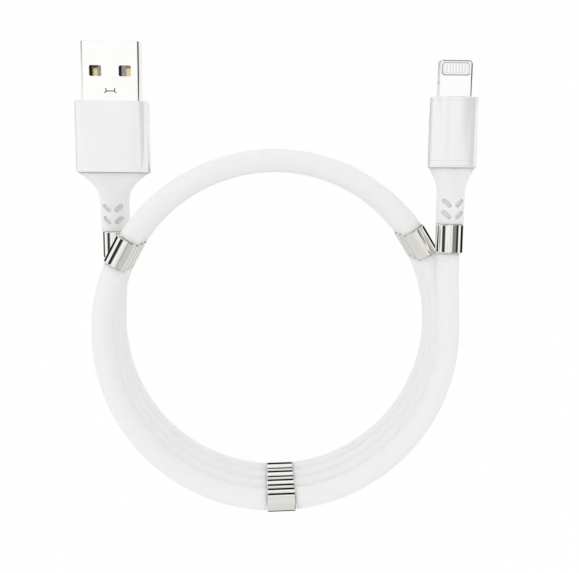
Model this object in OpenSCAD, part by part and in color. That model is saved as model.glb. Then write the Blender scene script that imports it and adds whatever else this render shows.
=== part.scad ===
// Self-coiling charging cable. A silicone cord carries ring magnets in steel sleeves, which
// stack into a coil of four turns. The charger plug is on the lowest turn and lies on the
// table, and the phone plug is on the highest.
// The coil's axis is +Z, both plugs point along +Y, and the table is z = 0.

/* [Cord] */
// Outside diameter of the silicone cord
cord_d = 4.4; // [4:0.1:5]
// Diameter of the conductor core that runs through the magnets
core_d = 2.2; // [1.8:0.1:2.4]
// How far the charger plug's end magnet lies beyond its even spacing on the cord
charger_slack = -0.1; // [-0.3:0.05:1.5]
// How far the phone plug's end magnet lies beyond its even spacing on the cord
phone_slack = 0.25; // [-0.3:0.05:1.5]

/* [Coil] */
// Radius of the cord's centre line in the coil
coil_r = 35; // [33:0.5:45]
// Bearing of the first magnet sleeve, counted from the charger plug
first_bearing = 272; // [270:1:275]
// Gap between sleeves that are stacked on each other
stack_gap = 0.15; // [0.1:0.05:0.5]

/* [Magnet sleeves] */
// Length of a sleeve on the cord
sleeve_l = 6; // [5:0.25:8]
// How far a sleeve stands out from the cord all round
sleeve_proud = 0.2; // [0.1:0.05:0.4]
// Sheet thickness of the sleeves
sleeve_wall = 0.2; // [0.15:0.05:0.3]
// Rounding of a sleeve's rims
sleeve_round = 0.15; // [0.05:0.05:0.2]
// Diameter of the two end sleeves
end_sleeve_d = 5.4; // [5:0.1:5.8]
// Length of the two end sleeves
end_sleeve_l = 5.8; // [5:0.1:8]

/* [Clearances] */
// Gap between pieces that butt against each other
seat = 0.05; // [0.02:0.01:0.1]
// Gap all round between a piece and the one that it sits in
fit = 0.05; // [0.03:0.01:0.1]
// Gap all round between the core and what it passes through
core_gap = 0.15; // [0.1:0.05:0.25]

/* [Charger plug] */
// How much closer than coil_r the charger plug's axis passes the coil's axis
plug_inset = 0.35; // [0:0.05:1]
// Width of the steel shell
shell_w = 12; // [11.8:0.1:12.2]
// Thickness of the steel shell
shell_t = 4.5; // [4.4:0.1:4.6]
// Full length of the steel shell
shell_l = 18.7; // [17.5:0.1:19.5]
// Length of the shell that stands out of the housing
shell_out = 12.1; // [11.5:0.1:13]
// Sheet thickness of the shell
shell_wall = 0.3; // [0.25:0.05:0.35]
// Width of each window in the shell
window_w = 2.5; // [2:0.1:2.8]
// Length of each window in the shell
window_l = 2.2; // [1.8:0.1:2.6]
// Distance from the shell's mouth to the middle of the windows
window_back = 6; // [5.5:0.1:6.5]
// Distance from the shell's middle line to the middle of each window
window_x = 3.05; // [2.8:0.05:3.3]
// Depth of the shell's mouth down to the insulator's block
mouth_depth = 11.1; // [10:0.1:11.5]
// Thickness of the insulator's tongue
tongue_t = 1.85; // [1.7:0.05:1.95]
// Width of each contact
contact_w = 1; // [0.8:0.05:1.2]
// Width of the charger plug's housing
housing_w = 15.2; // [14.9:0.1:16.5]
// Thickness of the charger plug's housing
housing_t = 7; // [6.9:0.1:8]
// Length of the charger plug's housing
housing_l = 14.7; // [13.5:0.1:16]
// Corner radius of the housing's cross-section
housing_r = 2.2; // [1.5:0.1:2.6]
// Wall of the housing
housing_wall = 0.9; // [0.8:0.05:0.95]
// Thickness of the housing's front wall round the shell
front_wall = 1.2; // [1:0.1:1.6]
// Length of the charger plug's strain relief
relief_l = 12.4; // [11:0.1:14]
// Width of the charger plug's strain relief along its neck
relief_w = 6.1; // [5.8:0.1:6.4]
// Thickness of the charger plug's strain relief along its neck
relief_t = 5.6; // [5.5:0.1:5.8]

/* [Phone plug] */
// How much closer than coil_r the phone plug's axis passes the coil's axis
phone_inset = 0.5; // [0:0.05:1]
// Width of the steel tab
tab_w = 6.7; // [6.6:0.05:6.8]
// Thickness of the steel tab
tab_t = 1.5; // [1.45:0.05:1.55]
// Length of the tab that stands out of the housing
tab_out = 7.15; // [6.8:0.05:7.7]
// Length of the tab inside the housing
tab_in = 3.4; // [3:0.1:4]
// Width of the tab's contact window
tab_window_w = 5.2; // [5.1:0.05:5.5]
// Length of the tab's contact window
tab_window_l = 2.2; // [2.1:0.05:2.5]
// Distance from the tab's tip to its contact window
tab_window_back = 0.65; // [0.55:0.05:0.8]
// Width of each pad in the contact window
pad_w = 0.38; // [0.3:0.02:0.42]
// Width of the phone plug's housing
phone_housing_w = 9.4; // [9.3:0.1:10.5]
// Thickness of the phone plug's housing
phone_housing_t = 5.6; // [5.5:0.1:6.4]
// Length of the phone plug's housing
phone_housing_l = 13.65; // [12.8:0.1:15]
// Wall of the phone plug's housing
phone_wall = 0.8; // [0.7:0.05:0.85]
// Length of the phone plug's strain relief
phone_relief_l = 10.95; // [10:0.05:13]
// Diameter of the phone plug's strain relief along its neck
phone_relief_d = 5.5; // [5.4:0.1:5.6]

/* [Strain relief slots] */
// Width of each slot
slot_w = 0.9; // [0.7:0.05:1.1]
// Length of each slot from end to end
slot_l = 2.1; // [1.8:0.05:2.3]
// Depth of each slot
slot_depth = 0.55; // [0.4:0.05:0.8]
// Distance between the slots' two columns
slot_columns = 2.5; // [2.3:0.05:2.7]
// Distance between the slots' two rows on the charger plug
slot_rows = 2.6; // [2.3:0.05:2.8]
// Distance from the charger plug's neck end to its nearer row
slot_back = 2.35; // [1.8:0.05:3]
// Distance between the slots' two rows on the phone plug
phone_slot_rows = 2.3; // [2.2:0.05:2.6]
// Distance from the phone plug's neck end to its nearer row
phone_slot_back = 1.8; // [1.6:0.05:2.6]

/* [Hidden] */
$fn = 48;

// Coil
CLIMBS = 3;                    // arcs over the top, each one turn higher than the last
SPACING = 120;                 // degrees of coil from one magnet to the next
STATIONS = 10;                 // sleeves on the coil
STEPS = 8;                     // straight steps of the cord from one sleeve to the next
SIDES = 6;                     // sides of the cord's section
SIDES_SCALE = 1.03;            // makes the six-sided section as thick as the round one
sleeve_d = cord_d + 2 * sleeve_proud;
pitch = sleeve_d + stack_gap;
bottom_z = sleeve_d / 2;
top_z = bottom_z + CLIMBS * pitch;
charger_plug_x = -coil_r + plug_inset;
phone_plug_x = coil_r - phone_inset;
arc_mm = coil_r * PI / 180;    // cord in one degree of coil
dwell = asin((sleeve_l / 2 + seat) / coil_r) + 1;
last_bearing = first_bearing + (STATIONS - 1) * SPACING;
START = 180;                   // bearing at which the cord enters the coil
FINISH = 1440;                 // bearing at which it leaves, four turns less a half later
mid_x = (charger_plug_x - housing_w / 2 + phone_plug_x + phone_housing_w / 2) / 2;
low_y = (coil_r + sleeve_d / 2) * sin(first_bearing)
    - (sleeve_l / 2 - sleeve_round) * abs(cos(first_bearing));
core_bore = core_d / 2 + core_gap;

// Charger plug, along Y
end_sleeve_z = max(end_sleeve_d, relief_t) / 2;
charger_z = housing_t / 2;
charger_sleeve_y = arc_mm * (SPACING - (first_bearing - START)) + charger_slack;
relief_y = charger_sleeve_y + end_sleeve_l / 2 + seat;
housing_y = relief_y + relief_l + seat;
front_y = housing_y + housing_l;
tip_y = front_y + shell_out;
shell_y = tip_y - shell_l;
mould_w = housing_w - 2 * (housing_wall + fit);
mould_t = housing_t - 2 * (housing_wall + fit);
mould_front_y = front_y - front_wall - seat;
MOULD_BACK = 1;                // wall of each inner mould behind its wires
CORE_OUT = 0.2;                // how far the core reaches past that wall
LIFT = 0.83;                   // share of the relief in which the core rises to the housing
core_end_y = housing_y + MOULD_BACK + CORE_OUT;
lift_end_y = relief_y + LIFT * relief_l;
mouth_w = shell_w - 2 * shell_wall;
mouth_t = shell_t - 2 * shell_wall;
block_y = tip_y - mouth_depth;
CONTACT_X = [-3.5, -1, 1, 3.5];
CONTACT_T = 0.3;
CONTACT_PROUD = 0.06;          // how far the contacts stand out of the tongue
tongue_top = -mouth_t / 2 + fit + tongue_t;
contact_z = tongue_top + CONTACT_PROUD - CONTACT_T;
TAIL = 1.7;                    // contact behind the shell, where its wire is soldered
WIRE_R = 0.33;
WIRE_SIDES = 8;
WIRE_BUNDLE = 0.37;            // half the spacing of the wires where they leave the core

// Phone plug, along Y
phone_sleeve_y = arc_mm * (SPACING - (FINISH - last_bearing)) + phone_slack;
phone_relief_y = phone_sleeve_y + end_sleeve_l / 2 + seat;
phone_housing_y = phone_relief_y + phone_relief_l + seat;
phone_front_y = phone_housing_y + phone_housing_l;
tab_tip_y = phone_front_y + tab_out;
tab_y = phone_front_y - tab_in;
phone_mould_w = phone_housing_w - 2 * (phone_wall + fit);
phone_mould_t = phone_housing_t - 2 * (phone_wall + fit);
PHONE_FRONT_WALL = 0.9;
phone_mould_front_y = phone_front_y - PHONE_FRONT_WALL - seat;
phone_core_end_y = phone_housing_y + MOULD_BACK + CORE_OUT;
tab_window_y = tab_tip_y - tab_window_back - tab_window_l;
SLIT_W = 5;                    // slit through the tab behind its window
SLIT_T = 0.9;
PADS = 8;
PAD_STEP = 0.6;
PAD_T = 0.12;
INSERT_SUNK = 0.05;            // how far the insert's faces lie below the tab's
BOARD_W = 5.4;
BOARD_T = 0.6;
BOARD_BACK = 2.4;              // room for the wires between the core and the board
BOARD_GAP = 0.35;              // gap between the board and the tab
board_y = phone_core_end_y + BOARD_BACK;
board_front_y = tab_y - BOARD_GAP;

// ---- helpers ----

function smooth(t) = let (u = min(1, max(0, t))) u * u * (3 - 2 * u);

// Draws its children's outline in the XZ plane and extrudes it from y0 to y1.
module along_y(y0, y1) {
    translate([0, y1, 0]) rotate([90, 0, 0]) linear_extrude(y1 - y0) children();
}

module round_rect(w, h, r) {
    square([w, h - 2 * r], center = true);
    square([w - 2 * r, h], center = true);
    for (x = [-1, 1], y = [-1, 1])
        translate([x * (w / 2 - r), y * (h / 2 - r)]) circle(r);
}

module stadium(w, h) {
    square([w - h, h], center = true);
    for (x = [-1, 1]) translate([x * (w - h) / 2, 0]) circle(h / 2);
}

// A bar along Y with the children's cross-section, its ends rounded in plan and from the side.
module eased_bar(w, t, y0, y1, plan_r, side_r) {
    mid_y = (y0 + y1) / 2;
    intersection() {
        along_y(y0, y1) children();
        translate([0, mid_y, -t]) linear_extrude(2 * t) round_rect(w, y1 - y0, plan_r);
        translate([-w, mid_y, 0]) rotate([90, 0, 90])
            linear_extrude(2 * w) round_rect(y1 - y0, t, side_r);
    }
}

// A closed tube through rings of points, which all turn the same way.
module tube(rings) {
    n = len(rings[0]);
    last = len(rings) - 1;
    polyhedron(
        points = [for (ring = rings) each ring],
        faces = concat(
            [[for (i = [0:n - 1]) i]],
            [for (k = [0:last - 1], i = [0:n - 1], half = [0, 1])
                let (a = k * n + i, b = k * n + (i + 1) % n)
                half == 0 ? [a, a + n, b] : [b, a + n, b + n]],
            [[for (i = [n - 1:-1:0]) last * n + i]]
        ),
        convexity = 10
    );
}

// A wire that runs along +Y through these points.
module wire(points) {
    tube([for (p = points) [for (i = [0:WIRE_SIDES - 1])
        let (a = -360 * i / WIRE_SIDES) p + WIRE_R * [cos(a), 0, sin(a)]]]);
}

// The whole cable is drawn round the coil's axis, then moved so that the origin is in the
// middle of its footprint.
module on_footprint() {
    translate([-mid_x, -(tip_y + low_y) / 2, 0]) children();
}

module at_charger(z = charger_z) {
    on_footprint() translate([charger_plug_x, 0, z]) children();
}

module at_phone() {
    on_footprint() translate([phone_plug_x, 0, top_z]) children();
}

// Stands its children, drawn along Z, on the coil at a bearing, along the cord.
module at_station(k) {
    bearing = first_bearing + SPACING * k;
    on_footprint() translate([coil_r * cos(bearing), coil_r * sin(bearing), coil_z(bearing)])
        rotate([90, 0, bearing]) children();
}

// ---- cord ----

// Height of the cord's centre line at a bearing. It is level except on the arcs over the top.
function coil_z(b) = bottom_z + pitch * height_in_turns(b, CLIMBS - 1);
function height_in_turns(b, j) = j < 0 ? 0
    : smooth((b - first_bearing - SPACING - 360 * j - dwell) / (SPACING - 2 * dwell))
        + height_in_turns(b, j - 1);

// A ring is [centre, bearing of its plane, radius].
function coil_ring(b) = [[coil_r * cos(b), coil_r * sin(b), coil_z(b)], b, cord_d / 2];

function station_rings(k) = let (
        b = first_bearing + SPACING * k,
        c = coil_ring(b)[0],
        t = [-sin(b), cos(b), 0] * (sleeve_l / 2 + seat)
    ) [
        [c - t, b, cord_d / 2], [c - t, b, core_d / 2],
        [c + t, b, core_d / 2], [c + t, b, cord_d / 2]
    ];

// The charger plug's end: how far the centre line has moved in and up at y.
charger_run = charger_sleeve_y - end_sleeve_l / 2 - seat;
function charger_x(y) = -coil_r + plug_inset * smooth(y / (charger_run - cord_d));
function charger_z_at(y) = y < relief_y
    ? bottom_z + (end_sleeve_z - bottom_z) * smooth(y / (charger_run - cord_d))
    : end_sleeve_z
        + (charger_z - end_sleeve_z) * smooth((y - relief_y) / (lift_end_y - relief_y));
function charger_ring(y, r) = [[charger_x(y), y, charger_z_at(y)], START, r];

phone_run = phone_sleeve_y - end_sleeve_l / 2 - seat;
function phone_x(y) = coil_r - phone_inset * smooth(y / (phone_run - cord_d));
function phone_ring(y, r) = [[phone_x(y), y, top_z], FINISH, r];

END_RINGS = 4;
LIFT_RINGS = 6;
cord_rings = concat(
    [charger_ring(core_end_y, core_d / 2)],
    [for (i = [LIFT_RINGS:-1:0])
        charger_ring(relief_y + (lift_end_y - relief_y) * i / LIFT_RINGS, core_d / 2)],
    [charger_ring(charger_run, core_d / 2), charger_ring(charger_run, cord_d / 2)],
    [for (i = [END_RINGS:-1:1])
        charger_ring((charger_run - cord_d) * i / END_RINGS, cord_d / 2)],
    [for (b = [START:SPACING / STEPS:first_bearing - SPACING / STEPS / 2]) coil_ring(b)],
    [for (k = [0:STATIONS - 1]) each concat(
        station_rings(k),
        k == STATIONS - 1 ? [] : [for (i = [1:STEPS - 1])
            coil_ring(first_bearing + SPACING * (k + i / STEPS))])],
    [for (i = [ceil((FINISH - last_bearing) * STEPS / SPACING) - 1:-1:0])
        coil_ring(FINISH - i * SPACING / STEPS)],
    [for (i = [1:END_RINGS]) phone_ring((phone_run - cord_d) * i / END_RINGS, cord_d / 2)],
    [phone_ring(phone_run, cord_d / 2), phone_ring(phone_run, core_d / 2)],
    [phone_ring(phone_core_end_y, core_d / 2)]
);

function ring_points(ring) = [for (i = [0:SIDES - 1])
    let (a = 360 * i / SIDES, r = ring[2] * SIDES_SCALE)
    ring[0] + r * [cos(a) * cos(ring[1]), cos(a) * sin(ring[1]), sin(a)]];

NEAR = 3;                      // sections further apart than this many diameters are passed over
TURN_APART = 16;               // rings between two sections that lie on different turns

// Least distance between the corners of the cord's section on one turn and on another.
function least_gap(points, apart) = min([for (
        i = [0:len(points) - apart - 1], j = [i + apart:len(points) - 1])
    if (norm(points[i][0] - points[j][0]) < NEAR * cord_d)
        min([for (p = points[i], q = points[j]) norm(p - q)])]);

module cord() {
    points = [for (ring = cord_rings) ring_points(ring)];
    echo("cord rings", len(points), "least gap of the cord to itself, mm",
        least_gap(points, TURN_APART));
    on_footprint() color("whitesmoke") tube(points);
}

// ---- magnet sleeves and ring magnets ----

// A steel sleeve along Z whose two rims are turned in over the magnet.
module sleeve(d, l) {
    r = d / 2;
    h = l / 2;
    e = sleeve_round;
    color("silver") rotate_extrude() polygon([
        [core_bore, -h], [r - e, -h], [r - 0.3 * e, -h + 0.3 * e], [r, -h + e],
        [r, h - e], [r - 0.3 * e, h - 0.3 * e], [r - e, h], [core_bore, h],
        [core_bore, h - sleeve_wall], [r - sleeve_wall, h - sleeve_wall],
        [r - sleeve_wall, -h + sleeve_wall], [core_bore, -h + sleeve_wall]
    ]);
}

// The ring magnet that fills a sleeve of this size.
module magnet(d, l) {
    r = d / 2 - sleeve_wall - fit;
    h = l / 2 - sleeve_wall - fit;
    e = sleeve_round;
    color("dimgray") rotate_extrude() polygon([
        [core_bore, -h], [r - e, -h], [r, -h + e], [r, h - e], [r - e, h], [core_bore, h]
    ]);
}

module coil_sleeve(number) {
    at_station(number - 1) sleeve(sleeve_d, sleeve_l);
}

module coil_magnet(number) {
    at_station(number - 1) magnet(sleeve_d, sleeve_l);
}

module charger_end_sleeve() {
    at_charger(end_sleeve_z) translate([0, charger_sleeve_y, 0]) rotate([90, 0, 0])
        sleeve(end_sleeve_d, end_sleeve_l);
}

module charger_end_magnet() {
    at_charger(end_sleeve_z) translate([0, charger_sleeve_y, 0]) rotate([90, 0, 0])
        magnet(end_sleeve_d, end_sleeve_l);
}

module phone_end_sleeve() {
    at_phone() translate([0, phone_sleeve_y, 0]) rotate([90, 0, 0])
        sleeve(end_sleeve_d, end_sleeve_l);
}

module phone_end_magnet() {
    at_phone() translate([0, phone_sleeve_y, 0]) rotate([90, 0, 0])
        magnet(end_sleeve_d, end_sleeve_l);
}

// ---- strain reliefs ----

CORNER_STEPS = 6;              // points round each corner of a relief's section
RELIEF_RINGS = 15;

// A rounded rectangle of half-widths a and b with corner radius r, in the plane y at height z.
function relief_section(a, b, r, y, z) = [
    for (q = [0:3], i = [0:CORNER_STEPS - 1]) let (
        angle = 90 * q + 90 * i / (CORNER_STEPS - 1),
        cx = (q == 0 || q == 3 ? 1 : -1) * (a - r),
        cz = (q < 2 ? 1 : -1) * (b - r)
    ) [cx + r * cos(angle), y, z + cz + r * sin(angle)]];

// Lofts sections into a moulded tube: outer ones forwards, inner ones back.
module loft(outer, inner) {
    rings = concat(outer, [for (i = [len(inner) - 1:-1:0]) inner[i]]);
    n = len(rings[0]);
    count = len(rings);
    polyhedron(
        points = [for (ring = rings) each ring],
        faces = [for (k = [0:count - 1], i = [0:n - 1], half = [0, 1]) let (
                a = k * n + i, b = k * n + (i + 1) % n,
                c = (k + 1) % count * n + i, d = (k + 1) % count * n + (i + 1) % n
            ) half == 0 ? [a, b, c] : [b, d, c]],
        convexity = 6
    );
}

// Half the relief's width at a share of its length: the neck's, then growing to the base's.
function flare(share, base, neck, start, power) =
    neck + (base - neck) * pow(max(0, (share - start) / (1 - start)), power);

FLARE_START = 0.5;             // share of the relief's length at which it begins to widen
FLARE_POWER = 2.3;             // how suddenly the relief widens towards its housing
PHONE_FLARE_START = 0.6;
PHONE_FLARE_POWER = 1.5;
LIP = 0.2;                     // how far a relief's wide end lies inside its housing's outline
CROWDING = 1.5;                // how much closer the sections stand towards the wide end
SLIVER = 0.001;                // flat left on a section that is otherwise round

module relief_body(w, t, corner, neck_w, neck_t, length, start, power, bend) {
    shares = [for (i = [0:RELIEF_RINGS]) let (u = i / RELIEF_RINGS) 1 - pow(1 - u, CROWDING)];
    loft(
        [for (s = shares) let (
            a = flare(s, w / 2 - LIP, neck_w / 2, start, power),
            b = flare(s, t / 2 - LIP, neck_t / 2, start, power),
            r = flare(s, corner, min(a, b), start, 1)
        ) relief_section(a, b, min(r, a - SLIVER, b - SLIVER), s * length, bend(s * length))],
        [for (s = shares) relief_section(core_bore, core_bore, core_bore - SLIVER,
            s * length, bend(s * length))]
    );
}

SLOT_SLANT = 45;

// The slanted slots through the skin of a relief's neck, above and below.
module relief_slots(neck_t, back, rows, bend) {
    for (row = [0, 1], column = [-1, 1], face = [-1, 1]) {
        y = back + row * rows;
        translate([column * slot_columns / 2, y, bend(y) + face * neck_t / 2])
            rotate([0, 0, -column * SLOT_SLANT]) linear_extrude(2 * slot_depth, center = true) {
                square([slot_w, slot_l - slot_w], center = true);
                for (end = [-1, 1]) translate([0, end * (slot_l - slot_w) / 2])
                    circle(slot_w / 2);
            }
    }
}

module charger_strain_relief() {
    bend = function (y) charger_z_at(relief_y + y) - charger_z;
    at_charger() translate([0, relief_y, 0]) color("whitesmoke") difference() {
        relief_body(housing_w, housing_t, housing_r, relief_w, relief_t, relief_l,
            FLARE_START, FLARE_POWER, bend);
        relief_slots(relief_t, slot_back, slot_rows, bend);
    }
}

module phone_strain_relief() {
    bend = function (y) 0;
    at_phone() translate([0, phone_relief_y, 0]) color("whitesmoke") difference() {
        relief_body(phone_housing_w, phone_housing_t, phone_housing_t / 2, phone_relief_d,
            phone_relief_d, phone_relief_l, PHONE_FLARE_START, PHONE_FLARE_POWER, bend);
        relief_slots(phone_relief_d, phone_slot_back, phone_slot_rows, bend);
    }
}

// ---- charger plug ----

RIM_R = 0.2;                   // rounding of the housings' rims

module charger_plug_housing() {
    at_charger() color("white") difference() {
        eased_bar(housing_w, housing_t, housing_y, front_y, RIM_R, RIM_R)
            round_rect(housing_w, housing_t, housing_r);
        along_y(housing_y - 1, front_y - front_wall)
            round_rect(mould_w + 2 * fit, mould_t + 2 * fit, housing_r - housing_wall);
        along_y(front_y - front_wall - 1, front_y + 1)
            round_rect(shell_w + 2 * fit, shell_t + 2 * fit, SHELL_R + fit);
    }
}

SHELL_R = 0.6;                 // corner radius of the shell's cross-section
SHELL_RIM = 0.2;               // rounding of the shell's mouth
WIRE_ROOM_W = 9.4;
WIRE_ROOM_T = 2.9;
ROOM_R = 0.5;                  // corner radius of the room inside each inner mould

module charger_plug_inner_mould() {
    at_charger() color("gainsboro") difference() {
        along_y(housing_y, mould_front_y)
            round_rect(mould_w, mould_t, housing_r - housing_wall - fit);
        along_y(shell_y - seat, mould_front_y + 1)
            round_rect(shell_w + 2 * fit, shell_t + 2 * fit, SHELL_R + fit);
        along_y(housing_y + MOULD_BACK, shell_y + 1)
            round_rect(WIRE_ROOM_W, WIRE_ROOM_T, ROOM_R);
        along_y(housing_y - 1, housing_y + MOULD_BACK + 1) circle(core_bore);
    }
}

// The seam's interlocking key on the shell's upper face, cut through the sheet: a line with
// two arms that lean outwards at each end.
KEY_W = 1.6;
KEY_ARM = 0.6;
KEY_SLIT = 0.16;
KEY_AHEAD = 2;                 // middle of the key, ahead of the housing
KEY_LEANS = [15, 130];         // each arm's lean away from the mouth's direction

module seam_key() {
    translate([0, front_y + KEY_AHEAD, 0]) linear_extrude(shell_t) {
        square([KEY_W, KEY_SLIT], center = true);
        for (side = [-1, 1], lean = KEY_LEANS) translate([side * KEY_W / 2, 0])
            rotate([0, 0, -side * lean]) translate([-KEY_SLIT / 2, 0]) square([KEY_SLIT, KEY_ARM]);
    }
}

module charger_plug_shell() {
    at_charger() color("silver") difference() {
        eased_bar(shell_w, shell_t, shell_y, tip_y, SHELL_RIM, SHELL_RIM)
            round_rect(shell_w, shell_t, SHELL_R);
        along_y(shell_y - 1, tip_y + 1) round_rect(mouth_w, mouth_t, SHELL_R - shell_wall);
        for (side = [-1, 1]) translate([side * window_x, tip_y - window_back, 0])
            cube([window_w, window_l, shell_t + 2], center = true);
        seam_key();
    }
}

TONGUE_BACK = 0.6;             // the tongue's end, behind the shell's mouth
BLOCK_BACK = 0.4;              // the insulator's back, inside the shell's back

module charger_plug_insulator() {
    in_w = mouth_w - 2 * fit;
    in_t = mouth_t - 2 * fit;
    corner = SHELL_R - shell_wall;
    at_charger() color("whitesmoke") difference() {
        union() {
            along_y(shell_y + BLOCK_BACK, block_y) round_rect(in_w, in_t, corner);
            intersection() {
                along_y(shell_y + BLOCK_BACK, tip_y - TONGUE_BACK)
                    round_rect(in_w, in_t, corner);
                translate([-in_w, shell_y, -in_t / 2 - 1])
                    cube([2 * in_w, shell_l, tongue_t + 1]);
            }
        }
        for (i = [0:3]) translate([
            CONTACT_X[i] - contact_w / 2 - fit, shell_y, contact_z - fit
        ]) cube([
            contact_w + 2 * fit, shell_l - NOSE_BACK[i] + fit, CONTACT_T + 2 * fit
        ]);
    }
}

NOSE_BACK = [1.6, 2.6, 2.6, 1.6];  // each contact's nose, behind the shell's mouth
NOSE_L = 0.5;

// Four contacts, flat on the tongue, with a sloping nose and a tail for the wire.
module charger_plug_contacts() {
    at_charger() color("gold") for (i = [0:3]) {
        nose_y = tip_y - NOSE_BACK[i];
        translate([CONTACT_X[i] - contact_w / 2, 0, contact_z]) rotate([90, 0, 90])
            linear_extrude(contact_w) polygon([
                [shell_y - TAIL, 0], [nose_y, 0], [nose_y, 0.5 * CONTACT_T],
                [nose_y - NOSE_L, CONTACT_T], [shell_y - TAIL, CONTACT_T]
            ]);
    }
}

// The four insulated conductors, fanned out from the core to the contacts' tails.
module charger_plug_wires() {
    tail_z = contact_z + CONTACT_T + WIRE_R + fit;
    at_charger() color("indianred") for (i = [0:3]) {
        side = i < 2 ? -1 : 1;
        level = i == 0 || i == 3 ? 1 : -1;
        start = [side * WIRE_BUNDLE, core_end_y + seat, level * WIRE_BUNDLE];
        bend = [CONTACT_X[i], shell_y - TAIL, tail_z];
        wire([start, start + [0, WIRE_R, 0], bend, bend + [0, TAIL - 4 * fit, 0]]);
    }
}

// ---- phone plug ----

GROOVES = [0.35, 1.3];         // fine lines round the housing, ahead of its back rim
FRONT_GROOVE = 0.8;            // the same, behind its front rim
GROOVE_W = 0.12;
GROOVE_DEPTH = 0.08;

module phone_plug_housing() {
    w = phone_housing_w;
    t = phone_housing_t;
    at_phone() color("white") difference() {
        eased_bar(w, t, phone_housing_y, phone_front_y, RIM_R, RIM_R) stadium(w, t);
        along_y(phone_housing_y - 1, phone_front_y - PHONE_FRONT_WALL)
            stadium(phone_mould_w + 2 * fit, phone_mould_t + 2 * fit);
        along_y(phone_housing_y, phone_front_y + 1)
            round_rect(tab_w + 2 * fit, tab_t + 2 * fit, TAB_R + fit);
        for (y = concat([for (g = GROOVES) phone_housing_y + g], [phone_front_y - FRONT_GROOVE]))
            difference() {
                along_y(y, y + GROOVE_W) stadium(w + 1, t + 1);
                along_y(y - 1, y + 1) stadium(w - 2 * GROOVE_DEPTH, t - 2 * GROOVE_DEPTH);
            }
    }
}

TAB_R = 0.7;                   // rounding of the tab's long edges
TAB_TIP_R = 0.8;               // rounding of the tab's tip, in plan
NOTCH_R = 0.45;                // the two notches that the socket's springs catch
NOTCH_DEPTH = 0.15;
NOTCH_BACK = 4.4;              // distance from the tip to the notches
BOARD_ROOM_W = 6.2;
BOARD_ROOM_T = 2.7;
WINDOW_R = 0.5;                // corner radius of the tab's window

module phone_plug_inner_mould() {
    at_phone() color("gainsboro") difference() {
        along_y(phone_housing_y, phone_mould_front_y) stadium(phone_mould_w, phone_mould_t);
        along_y(tab_y - seat, phone_mould_front_y + 1)
            round_rect(tab_w + 2 * fit, tab_t + 2 * fit, TAB_R + fit);
        along_y(phone_housing_y + MOULD_BACK, board_front_y + seat)
            round_rect(BOARD_ROOM_W, BOARD_ROOM_T, ROOM_R);
        along_y(tab_y - 1, tab_y) square([SLIT_W, SLIT_T], center = true);
        along_y(phone_housing_y - 1, phone_housing_y + MOULD_BACK + 1) circle(core_bore);
    }
}

module tab_window(grow) {
    translate([0, tab_window_y + tab_window_l / 2, -tab_t]) linear_extrude(2 * tab_t)
        round_rect(tab_window_w + 2 * grow, tab_window_l + 2 * grow, WINDOW_R + grow);
}

module phone_plug_tab() {
    at_phone() color("silver") difference() {
        intersection() {
            along_y(tab_y, tab_tip_y) round_rect(tab_w, tab_t, TAB_R);
            translate([0, (tab_y + tab_tip_y) / 2, -tab_t]) linear_extrude(2 * tab_t)
                round_rect(tab_w, tab_tip_y - tab_y, TAB_TIP_R);
        }
        tab_window(0);
        along_y(tab_y - 1, tab_window_y + 1) square([SLIT_W, SLIT_T], center = true);
        for (side = [-1, 1])
            translate([side * (tab_w / 2 + NOTCH_R - NOTCH_DEPTH), tab_tip_y - NOTCH_BACK, -tab_t])
                cylinder(h = 2 * tab_t, r = NOTCH_R);
    }
}

function pad_x(i) = PAD_STEP * (i - (PADS - 1) / 2);
PAD_MARGIN = 0.4;              // insert ahead of and behind the pads
pad_l = tab_window_l - 2 * PAD_MARGIN;
insert_half = tab_t / 2 - INSERT_SUNK;

module phone_plug_insert() {
    at_phone() color("whitesmoke") difference() {
        union() {
            intersection() {
                tab_window(-fit);
                translate([-tab_w, tab_window_y, -insert_half])
                    cube([2 * tab_w, tab_window_l, 2 * insert_half]);
            }
            along_y(tab_y - seat, tab_window_y + PAD_MARGIN)
                square([SLIT_W - 2 * fit, SLIT_T - 2 * fit], center = true);
        }
        for (i = [0:PADS - 1], face = [-1, 1])
            translate([pad_x(i), tab_window_y + tab_window_l / 2, face * insert_half])
                cube([pad_w + fit, pad_l + fit, 2 * (PAD_T - fit / 2)], center = true);
    }
}

// Eight pads on each face of the insert, each a little proud of it.
module phone_plug_contacts() {
    at_phone() color("gold") for (i = [0:PADS - 1], face = [-1, 1])
        translate([
            pad_x(i), tab_window_y + tab_window_l / 2, face * (insert_half - PAD_T / 2 + fit)
        ]) cube([pad_w, pad_l, PAD_T], center = true);
}

module phone_plug_board() {
    at_phone() color("seagreen") along_y(board_y, board_front_y)
        square([BOARD_W, BOARD_T], center = true);
}

CHIP = [2.4, 2.2, 0.55];
CHIP_BACK = 0.7;               // distance from the board's front to the chip

module phone_plug_chip() {
    at_phone() color("dimgray") translate([
        -CHIP[0] / 2, board_front_y - CHIP[1] - CHIP_BACK, BOARD_T / 2 + seat
    ]) cube(CHIP);
}

CAPACITOR = [0.9, 0.5, 0.45];
CAPACITOR_STEP = 1.6;
CAPACITOR_BACK = 1.7;          // distance from the board's front to the capacitors

module phone_plug_capacitors() {
    at_phone() color("tan") for (i = [0:2])
        translate([
            (i - 1) * CAPACITOR_STEP - CAPACITOR[0] / 2,
            board_front_y - CAPACITOR_BACK - CAPACITOR[1],
            -BOARD_T / 2 - seat - CAPACITOR[2]
        ]) cube(CAPACITOR);
}

PHONE_WIRE_X = [-1.8, -0.6, 0.6, 1.8];
PHONE_WIRE_L = 1.2;            // wire that lies on the board

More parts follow.
